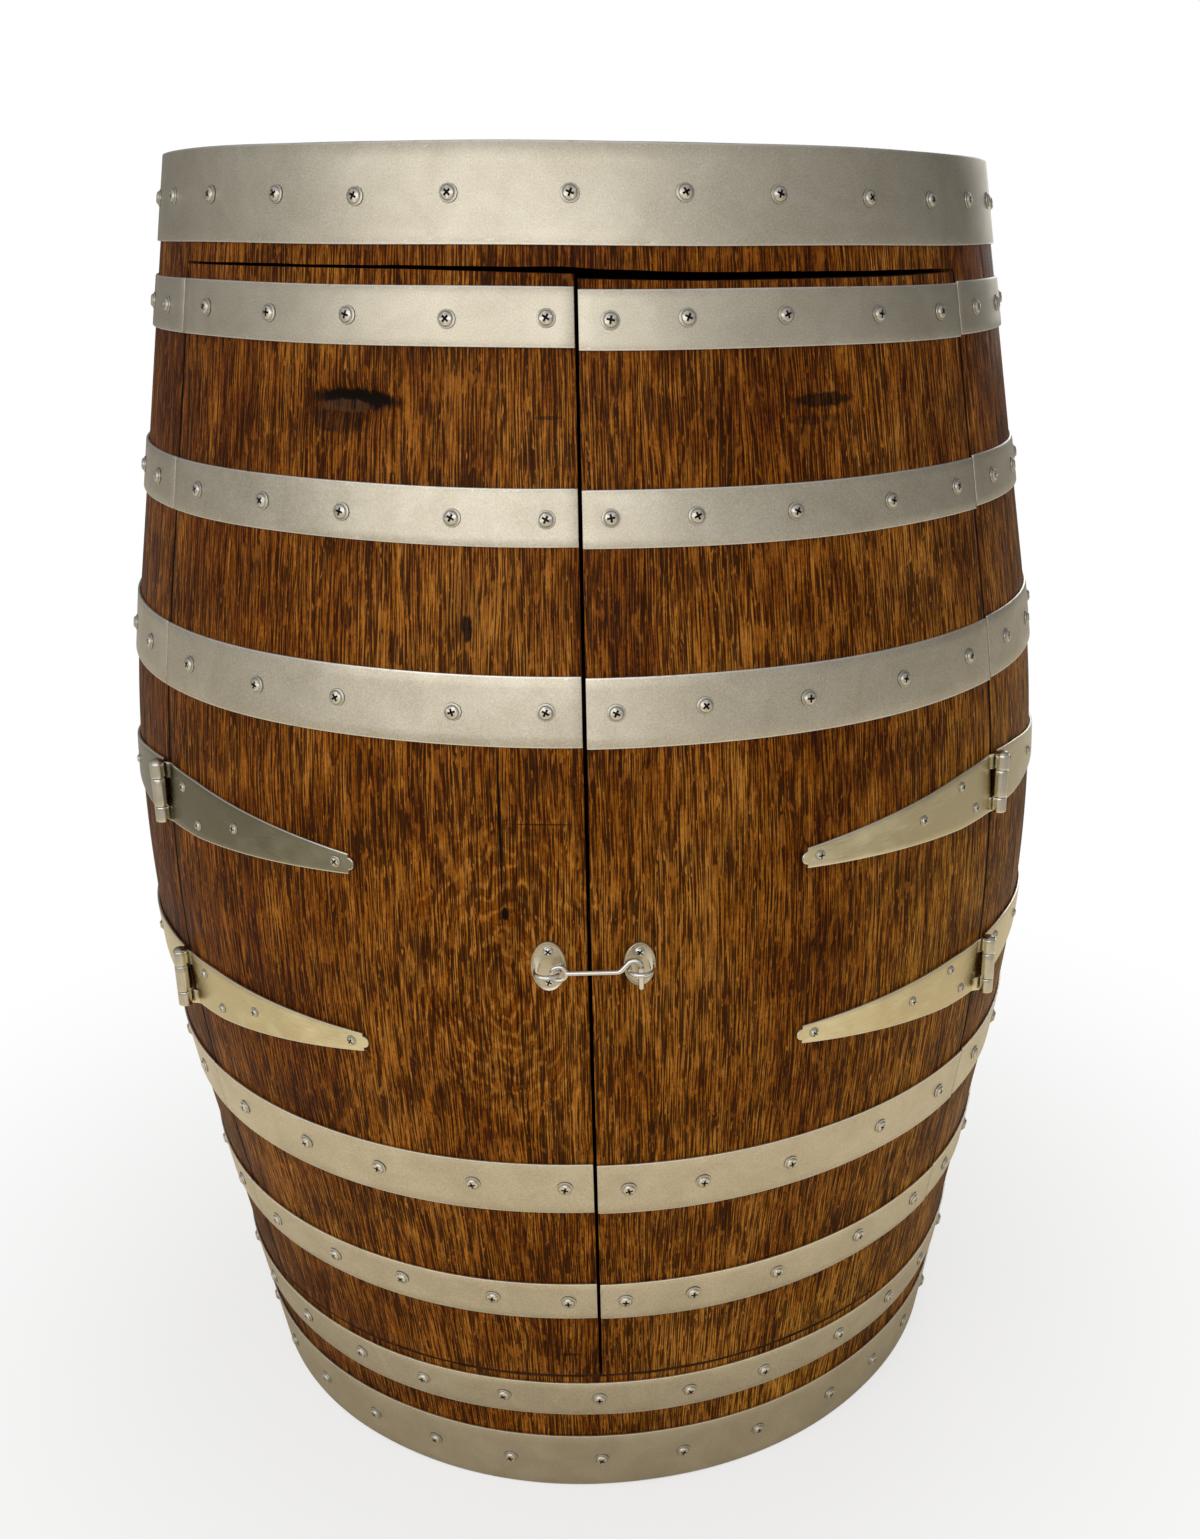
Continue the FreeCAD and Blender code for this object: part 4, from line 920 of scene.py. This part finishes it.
def screw_piece(shell, name, body, nodes=(), finish=SCREW_ZINC):
    """Finished screw heads, with hard edges at their recesses."""
    shell.piece(name, body, "screw_steel", (finish,), nodes, sharp=40)


BACK_MIDDLES = RIGHT_EDGE + (np.arange(BACK_STAVES) + 0.5) * BACK_PITCH
LEFT_MIDDLES = LEFT_EDGE + np.cumsum(LEFT_STAVES) - np.array(LEFT_STAVES) / 2
RIGHT_MIDDLES = np.cumsum(RIGHT_STAVES) - np.array(RIGHT_STAVES) / 2
HOOP_SCREW = dict(head=0.0056, dome=0.0043, tall=0.0025, cross=0.58)
WANDER_TURN, WANDER_UP = 0.25, 0.0009   # degrees and metres


def hoop_screws(shell, node, middles):
    """One screw through the hoop into each stave, near the middle of both."""
    low, high = hoop_range(node)
    turns = np.radians(middles + rng.normal(0, WANDER_TURN, len(middles)))
    heights = (low + high) / 2 + rng.normal(0, WANDER_UP, len(middles))
    radii = band_radius(low, high, (heights - low) / (high - low)) + HOOP_SEAT
    add_screws(shell, turns, heights, radii, lean_between(low, high), **HOOP_SCREW)


def make_hoops():
    """All hoops with their screws; the doors' parts ride with the doors."""
    on_cabinet, on_left, on_right = Shell(), Shell(), Shell()
    seam_stave = sum(FRONT_BOARDS[len(LEFT_STAVES) - 1]) / 2
    front = np.concatenate([LEFT_MIDDLES[:-1], [seam_stave], RIGHT_MIDDLES[1:]])
    off_lap = np.abs(BACK_MIDDLES - BACK_MIDDLE) > 1
    for node in WHOLE_HOOPS:
        make_band(node, "cabinet", BACK_MIDDLE, BACK_MIDDLE + 360, lapped=True)
        hoop_screws(on_cabinet, node, np.concatenate([BACK_MIDDLES[off_lap], front]))
    for name in CUT_HOOPS:
        make_band(f"{name}_back", "cabinet", RIGHT_EDGE, LEFT_EDGE + 360, lapped=True)
        make_band(f"{name}_left", "left_door", LEFT_EDGE + HINGE_TURN, -HALF_SEAM)
        make_band(f"{name}_right", "right_door", HALF_SEAM, RIGHT_EDGE - HINGE_TURN)
        hoop_screws(on_cabinet, f"{name}_back", BACK_MIDDLES[off_lap])
        hoop_screws(on_left, f"{name}_left", LEFT_MIDDLES)
        hoop_screws(on_right, f"{name}_right", RIGHT_MIDDLES)
    screw_piece(on_cabinet, "cabinet_hoop_screws", "cabinet")
    screw_piece(on_left, "left_door_hoop_screws", "left_door")
    screw_piece(on_right, "right_door_hoop_screws", "right_door")


# ---- strap hinges

LEAF_PLAY, LEAF_THICK, LEAF_ARRIS = 0.00035, 0.002, 0.0006
LEAF_BACK, LEAF_SHOULDER, LEAF_LONG = 0.0056, 0.045, 0.188
LEAF_LEAN = 0.008
TAB_OUT, TAB_HALF = 0.004, 0.0042
LEAF_NECK = LEAF_LONG - TAB_OUT
LEAF_STOPS, LEAF_HALVES = (LEAF_BACK, LEAF_SHOULDER, LEAF_NECK), (0.021, 0.01975, 0.0067)
PIN_OUT, PIN_RADIUS, PIN_CHAMFER = 0.0056, 0.0027, 0.0006
# the pin's head: radius, and height over the top knuckle
PIN_HEAD = ((0.0044, 0), (0.0045, 0.0002), (0.0044, 0.0008), (0.0037, 0.0015), (0.0022, 0.0021),
            (0, 0.0022))
KNUCKLE = 0.005
KNUCKLE_EASE = 0.002     # length of leaf that lifts off the wall
KNUCKLE_ROLL = 305       # degrees
KNUCKLE_GAP = 0.0004
MIDDLE_KNUCKLE = 0.020
HINGE_HALF = 0.021
PIN_BELOW = 0.0008
LEAF_SCREWS = ((0.027, 1), (0.046, -1), (0.088, 0), (0.175, 0))
SCREW_ASIDE = 0.0105
LEAF_SCREW = dict(head=0.0037, dome=0.0029, tall=0.0017, cross=0.75)


def leaf_middle(middle, along):
    """Height of a leaf's centre line, which leans towards the barrel's half height."""
    share = (along - LEAF_BACK) / (LEAF_LONG - LEAF_BACK)
    return middle + share * LEAF_LEAN * (-1 if middle > MIDDLE else 1)


def add_leaf_plate(shell, pin, side, middle, seed):
    """The tapered plate: square shoulders near its tip, and a rounded tab beyond them."""
    body = np.linspace(LEAF_BACK, LEAF_NECK, 60)
    tab_radius = (TAB_HALF ** 2 + TAB_OUT ** 2) / (2 * TAB_OUT)
    reach = np.linspace(0, TAB_OUT * 0.995, 9)
    tab = np.sqrt(tab_radius ** 2 - (reach - TAB_OUT + tab_radius) ** 2)
    along = np.concatenate([body, LEAF_NECK + reach])
    half = np.concatenate([np.interp(body, LEAF_STOPS, LEAF_HALVES), tab])
    aside, deep = rounded_section(half, LEAF_THICK, LEAF_ARRIS, 9)
    height = leaf_middle(middle, along)[:, None] + aside
    turn = pin + side * along[:, None] / BILGE
    points = on_barrel(turn, height, LEAF_PLAY + LEAF_THICK - deep)
    strip = triples(along[:, None] + seed, aside, seed)
    edge = near_edge(aside, half[:, None])
    # darker towards the knuckle
    edge[..., 2] = 1 - along[:, None] / LEAF_LONG
    shell.grid(points, (strip, edge), capped=True)


def add_knuckle(shell, pin, side, low, high, seed):
    """The plate's edge, which rises off the wall and rolls round the pin for most of a turn."""
    roll = KNUCKLE - LEAF_THICK / 2
    rise = np.linspace(LEAF_BACK + KNUCKLE_EASE, 0, 8)[:-1]
    curl = np.radians(np.linspace(0, KNUCKLE_ROLL, 34))
    along = np.concatenate([rise, -roll * np.sin(curl)])
    share = np.concatenate([smooth_step(rise, LEAF_BACK + KNUCKLE_EASE, 0), np.ones(len(curl))])
    lift = np.concatenate([np.full(len(rise), PIN_OUT - roll), PIN_OUT - roll * np.cos(curl)])
    up_along = np.concatenate([0 * rise, np.sin(curl)])[:, None]
    up_out = np.concatenate([np.ones(len(rise)), np.cos(curl)])[:, None]
    half = np.full(len(along), (high - low) / 2)
    aside, deep = rounded_section(half, LEAF_THICK, LEAF_ARRIS, 5)
    off = LEAF_THICK / 2 - deep
    height = (low + high) / 2 + aside
    on_wall = wall_radius(height) + LEAF_PLAY + LEAF_THICK / 2
    out = on_wall * (1 - share[:, None]) + (BILGE + lift[:, None]) * share[:, None] + off * up_out
    turn = pin + side * (along[:, None] + off * up_along) / BILGE
    points = round_axis(turn, out, height)
    strip = triples(aside, along[:, None] + seed, seed)
    shell.grid(points, (strip, near_edge(aside, half[:, None])), capped=True, kind=1)
    shell.kinds[-1][:len(rise) * points.shape[1]] = 0


def make_leaf(name, body, pin, side, middle, seed, outer_knuckles):
    """A leaf with one knuckle in the middle, or with one above and one below it."""
    shell = Shell()
    add_leaf_plate(shell, pin, side, middle, seed)
    inner, outer = (MIDDLE_KNUCKLE - KNUCKLE_GAP) / 2, (MIDDLE_KNUCKLE + KNUCKLE_GAP) / 2
    spans = ((-HINGE_HALF, -outer), (outer, HINGE_HALF)) if outer_knuckles else ((-inner, inner),)
    for at, (low, high) in enumerate(spans):
        add_knuckle(shell, pin, side, middle + low, middle + high, seed + at)
    # the left upper leaves take the darker copy, painted shade
    finish = LEFT_STRAP if name.startswith("left_upper") else STRAP_ZINC
    shell.piece(f"{name}_plate", body, "hinge_steel", (finish, PIN_ZINC), [name])


def make_pin(name, pin, middle):
    """A hinge pin with a rounded head on the top knuckle."""
    low, high = middle - HINGE_HALF - PIN_BELOW, middle + HINGE_HALF
    points = turned([(0, low), (PIN_RADIUS - PIN_CHAMFER, low), (PIN_RADIUS, low + PIN_CHAMFER),
                     (PIN_RADIUS, high), *[(radius, high + up) for radius, up in PIN_HEAD]])
    shell = Shell()
    shell.grid(points + round_axis(pin, BILGE + PIN_OUT, 0))
    shell.piece(f"{name}_turned", "cabinet", "hinge_steel", (PIN_ZINC,), [name])


def leaf_screws(shell, pin, side, middle, places):
    """Screws of one leaf, by their distance along it and up or down from its centre line."""
    along, up = np.array(places).T
    heights = leaf_middle(middle, along) + up * side * SCREW_ASIDE
    radii = wall_radius(heights) + LEAF_PLAY + LEAF_THICK
    lean = lean_between(heights - 0.001, heights + 0.001)
    add_screws(shell, pin + side * along / BILGE, heights, radii, lean, **LEAF_SCREW)


def make_hinges():
    """Four strap hinges: a door leaf, a frame leaf, a pin and their screws."""
    frame_screws = Shell()
    frame_places = [place for place in LEAF_SCREWS if place[1] != -1]
    for seed, (name, edge, side) in enumerate((("left", LEFT_EDGE, 1), ("right", RIGHT_EDGE, -1))):
        pin = math.radians(edge)
        door_screws = Shell()
        for place in ("upper", "lower"):
            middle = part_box(f"{name}_{place}_hinge_pin")[0].z + PIN_BELOW + HINGE_HALF
            tag = seed * 2 + (place == "upper")
            make_leaf(f"{name}_{place}_door_leaf", f"{name}_door", pin, side, middle, tag, True)
            make_leaf(f"{name}_{place}_frame_leaf", "cabinet", pin, -side, middle, tag + 5, False)
            make_pin(f"{name}_{place}_hinge_pin", pin, middle)
            leaf_screws(door_screws, pin, side, middle, LEAF_SCREWS)
            leaf_screws(frame_screws, pin, -side, middle, frame_places)
        screw_piece(door_screws, f"{name}_door_leaf_screws", f"{name}_door",
                    [f"{name}_door_hinge_screws"])
    screw_piece(frame_screws, "cabinet_leaf_screws", "cabinet", ["cabinet_hinge_screws"])


# ---- cabin hook

HOOK_TURN, KEEPER_TURN = math.radians(-4.1), math.radians(5)
PLATE_PLAY, PLATE_THICK, PLATE_DISH = 0.0003, 0.0024, 0.0007
PLATE_SEAT = BILGE + PLATE_PLAY
PLATE_FACE = PLATE_SEAT + PLATE_THICK
PLATE_SCREW_INSET = 0.0064
PLATE_SCREW = dict(head=0.0034, dome=0.0029, tall=0.0015, cross=0.72)
# once across half the plate: inset from its rim (1 for all the way in) and height over its seat
ROSETTE = ((1.0, 0), (0, 0), (0, 0.0016), (0.0002, 0.0021), (0.0006, 0.0024), (0.0010, 0.0023),
           (0.0014, 0.00185), (0.0018, 0.0017), (0.0040, 0.00172), (1.0, 0.0018))
ROSETTE_WIDE = {"left": 0.011, "right": 0.010}
STAPLE_HALF, STAPLE_LEG, STAPLE_WIRE = 0.007, 0.0074, 0.0016
STAPLE_EASE = 0.004      # last straight of each leg before its bow
HOOK_OUT, HOOK_WIRE = 0.0058, 0.0017
EYE_RADIUS, EYE_WIRE = 0.00455, 0.00145
HOOK_PLAY = 0.00022
HOOK_BEND, HOOK_ARCH, HOOK_DROP = 0.005, 0.0042, 0.012
HOOK_RISE = math.radians(48)


def make_rosette(name, turn):
    """An oval plate with a raised rim, a wire staple across it, and two screws."""
    body = f"{name}_door"
    low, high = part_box(f"{name}_rosette")
    tall = (high.z - low.z) / 2
    height = (high.z + low.z) / 2
    axes = upright_axes(turn)[0]
    angle = np.arange(48) * math.pi / 24
    inset, up = np.array(ROSETTE).T[..., None]
    points = triples(np.cos(angle) * np.maximum(ROSETTE_WIDE[name] - inset, 0),
                     np.sin(angle) * np.maximum(tall - inset, 0), up)
    shell = Shell()
    shell.grid(axes[2] * PLATE_SEAT + [0, 0, height] + points @ axes,
               (points * [1, 1, 0], 0 * points))
    shell.piece(f"{name}_rosette_plate", body, "hook_chrome", (PLATE_CHROME,), [f"{name}_rosette"])

    floor, leg = PLATE_FACE - PLATE_DISH, PLATE_FACE + STAPLE_LEG
    bow = arc((leg, 0), STAPLE_HALF, -90, 90, 25)
    path = np.vstack([[[floor, -STAPLE_HALF], [leg - STAPLE_EASE, -STAPLE_HALF]], bow,
                      [[leg - STAPLE_EASE, STAPLE_HALF], [floor, STAPLE_HALF]]])
    level = np.array([axes[2], axes[0], [0, 0, 1]])
    shell = Shell()
    shell.grid(wire(path, STAPLE_WIRE, [0, 0, height], level, round_ends=False), capped=True)
    shell.piece(f"{name}_staple_wire", body, "hook_chrome", (CHROME,), [f"{name}_staple"])

    reach = tall - PLATE_SCREW_INSET
    shell = Shell()
    add_screws(shell, np.full(2, turn), height + reach * np.array([1, -1]), floor, 0.0, **PLATE_SCREW)
    screw_piece(shell, f"{name}_rosette_screw_heads", body, [f"{name}_rosette_screws"], CHROME)


def make_hook():
    """An eye round the left staple, an arm, and a bent tip that drops through the keeper.

    It is drawn in the upright plane that it swings in, sideways and up."""
    low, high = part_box("left_staple")
    height = (low.z + high.z) / 2
    flat = PLATE_FACE + HOOK_OUT
    pivot = flat * math.tan(HOOK_TURN) + STAPLE_HALF / math.cos(HOOK_TURN)
    tip = flat * math.tan(KEEPER_TURN)
    rest = tip - STAPLE_HALF / math.cos(KEEPER_TURN)
    arm = height - (EYE_RADIUS - EYE_WIRE - STAPLE_WIRE - HOOK_PLAY)
    crest = tip - HOOK_ARCH * (1 + math.sin(HOOK_RISE))
    apart = HOOK_WIRE + STAPLE_WIRE + HOOK_PLAY
    crest_height = height + (apart - math.sin(HOOK_RISE) * (rest - crest)) / math.cos(HOOK_RISE)
    arch_height = crest_height - HOOK_ARCH * math.cos(HOOK_RISE)
    corner = crest - (crest_height - arm) / math.tan(HOOK_RISE)
    ease = HOOK_BEND * math.tan(HOOK_RISE / 2)
    rise = math.degrees(HOOK_RISE)
    straight = np.linspace(pivot + EYE_RADIUS, corner - ease, 12)[:-1]
    path = np.vstack([
        np.stack([straight, 0 * straight + arm], -1),
        arc((corner - ease, arm + HOOK_BEND), HOOK_BEND, -90, rise - 90, 10),
        arc((tip - HOOK_ARCH, arch_height), HOOK_ARCH, 90 + rise, 0, 18),
        [[tip, arch_height - 0.002], [tip, height - HOOK_DROP]]])
    upright = np.array([[1, 0, 0], [0, 0, 1], [0, -1, 0]])
    origin = [0, -flat, 0]
    ring = arc((pivot, arm), EYE_RADIUS, 0, 360, 41)[:-1]
    shell = Shell()
    shell.grid(wire(path, HOOK_WIRE, origin, upright), capped=True)
    shell.grid(wire(ring, EYE_WIRE, origin, upright, round_ends=False, loop=True), loop=True)
    shell.piece("hook_wire", "hook", "hook_chrome", (CHROME,), ["hook"])


# ---- cleats and bung

CLEAT_TURN, CLEAT_SPREAD, CLEAT_COUNT = 9, 190, 5
CLEAT_DEEP, CLEAT_PLAY = 0.022, 0.0003
BUNG_DEEP, BUNG_PROUD, BUNG_ROUNDING = 0.022, 0.004, 0.002


def make_cleats():
    """Blocks under the shelf, round the back of the inside."""
    low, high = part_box("shelf_cleats")[0].z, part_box("shelf_cleats")[1].z
    shell = Shell()
    for index in range(CLEAT_COUNT):
        middle = 180 - CLEAT_SPREAD / 2 + CLEAT_SPREAD * index / (CLEAT_COUNT - 1)
        add_stave(shell, middle - CLEAT_TURN / 2, middle + CLEAT_TURN / 2, low, high, middle,
                  (rng.uniform(-1, 1), 0), 90 + index, out=-WALL - CLEAT_PLAY,
                  wall=lambda z: 0 * z + CLEAT_DEEP)
    shell.piece("cleat_blocks", "cabinet", "inside_oak", (SHELF_OAK,) * 3, ["shelf_cleats"],
                BOARD_MARKS)


def make_bung():
    """The plug of the bung hole, a little proud of the back and rounded over."""
    low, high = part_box("bung")
    radius = (high.z - low.z) / 2
    inside, outside, rounding = BILGE - BUNG_DEEP, BILGE + BUNG_PROUD, BUNG_ROUNDING
    corner = arc((radius - rounding, outside - rounding), rounding, 0, 90, 5)
    points = turned([(0, inside), (radius - rounding, inside), (radius, inside + rounding), *corner,
                     (radius * 0.5, outside), (0, outside)], 48)
    axes = upright_axes(math.radians(BACK_MIDDLE))[0]
    shell = Shell()
    grain = points * [1, 1, 0.2] + [0.4, 0.2, 80]
    shell.grid(points @ axes + [0, 0, (high.z + low.z) / 2], (grain, np.array([0.4, 0.2, 0])))
    shell.piece("bung_plug", "cabinet", "inside_oak", (OAK,), ["bung"], BOARD_MARKS)


# ---- build

make_left_door_boards()
make_right_door_boards()
make_cabinet_boards()
make_heads_and_shelf()
make_cleats()
make_bung()
make_hoops()
make_hinges()
make_rosette("left", HOOK_TURN)
make_rosette("right", KEEPER_TURN)
make_hook()

# ---- floor, light and camera


def make_floor():
    """A pale floor that turns into the white surroundings away from the cabinet. Rays other than the
    camera's see it darker near the cabinet, a painted contact shadow, and darker again far off.
    """
    mesh = bpy.data.meshes.new("floor")
    corners = [(-8, -8, 0), (8, -8, 0), (8, 8, 0), (-8, 8, 0)]
    mesh.from_pydata(corners, [], [(0, 1, 2, 3)])
    floor = bpy.data.objects.new("floor", mesh)
    bpy.context.scene.collection.objects.link(floor)
    pale = Finish("pale_floor")
    far = pale.reach(pale.place())
    shown = pale.add("LightPath", {}).outputs["Is Camera Ray"]
    white = pale.add("Emission", {"Color": (1, 1, 1, 1), "Strength": 1.0})
    share = pale.times(pale.step(far, 0.3, 0.95, 0.62, 1.0), shown)
    mixed = pale.add("MixShader", {0: share, 1: pale.shader.outputs[0], 2: white.outputs[0]})
    feed(pale.tree, pale.tree.nodes["Material Output"].inputs[0], mixed.outputs[0])
    # for rays other than the camera's: a painted contact shadow round the cabinet, which its metal
    # reflects, and a darker floor far off
    floor_with_painted_shadow = pale.blend(pale.step(far, 0.28, 0.55), (0.50, 0.44, 0.33, 1), (0.90, 0.80, 0.60, 1))
    floor_with_painted_shadow = pale.blend(pale.step(far, 0.8, 1.6), floor_with_painted_shadow, (0.55, 0.51, 0.44, 1))
    colour = pale.blend(shown, floor_with_painted_shadow, (0.86, 0.86, 0.85, 1))
    mesh.materials.append(pale.done(Base_Color=colour, Roughness=0.8))


def make_light():
    """A soft box in front on the left, a weaker one behind, and pale surroundings.

    The camera sees white behind the cabinet; its metal sees a dimmer room, palest ahead of it."""
    world = bpy.data.worlds.new("studio")
    world.use_nodes = True
    bpy.context.scene.world = world
    tree = world.node_tree
    paths = add_node(tree, "LightPath", {}).outputs
    aim = add_node(tree, "TexCoord", {}).outputs["Generated"]
    ahead = add_node(tree, "VectorMath", {0: aim, 1: (-0.34, -0.92, 0.20)}, operation="DOT_PRODUCT")
    room = add_node(tree, "MapRange", {0: ahead.outputs["Value"], 1: -0.6, 2: 1.0, 3: 0.13, 4: 0.56})
    soft = add_node(tree, "MapRange", {0: paths["Is Glossy Ray"], 3: 0.80, 4: room.outputs[0]})
    seen = add_node(tree, "MapRange", {0: paths["Is Camera Ray"], 3: soft.outputs[0], 4: 1.0})
    feed(tree, tree.nodes["Background"].inputs["Strength"], seen.outputs[0])
    feed(tree, tree.nodes["Background"].inputs["Color"], (1, 1, 1, 1))
    for name, place, wide, tall, power in (("key", (-0.86, -2.35, 1.30), 3.8, 1.5, 17.5),
                                           ("back", (1.3, 2.6, 1.4), 1.6, 1.4, 12)):
        lamp = bpy.data.lights.new(name, "AREA")
        lamp.shape = "RECTANGLE"
        lamp.size, lamp.size_y, lamp.energy = wide, tall, power
        holder = bpy.data.objects.new(name, lamp)
        bpy.context.scene.collection.objects.link(holder)
        holder.location = place
        towards = Vector((0, 0, 0.5)) - Vector(place)
        holder.rotation_euler = towards.to_track_quat("-Z", "Y").to_euler()


def make_camera():
    """A camera close in front and above, looking down, with a shifted frame."""
    camera = bpy.data.cameras.new("camera")
    wide, high = 1200, 1539
    focal, centre_x, centre_y = 1518.4, 708.76, 765.76   # pixels of that frame
    camera.sensor_width = 36.0
    camera.lens = focal * camera.sensor_width / high
    camera.shift_x = (wide / 2 - centre_x) / high
    camera.shift_y = (centre_y - high / 2) / high
    holder = bpy.data.objects.new("camera", camera)
    bpy.context.scene.collection.objects.link(holder)
    holder.location = (0.0207, -1.1906, 0.8919)
    pitch, yaw, roll = 0.3392, 0.0616, 0.0048   # radians
    level = math.cos(pitch)
    look = Vector((math.sin(yaw) * level, math.cos(yaw) * level, -math.sin(pitch)))
    holder.rotation_mode = "QUATERNION"
    holder.rotation_quaternion = Quaternion(look, -roll) @ look.to_track_quat("-Z", "Y")
    bpy.context.scene.camera = holder


make_floor()
make_light()
make_camera()
bpy.context.scene.view_settings.view_transform = "Standard"
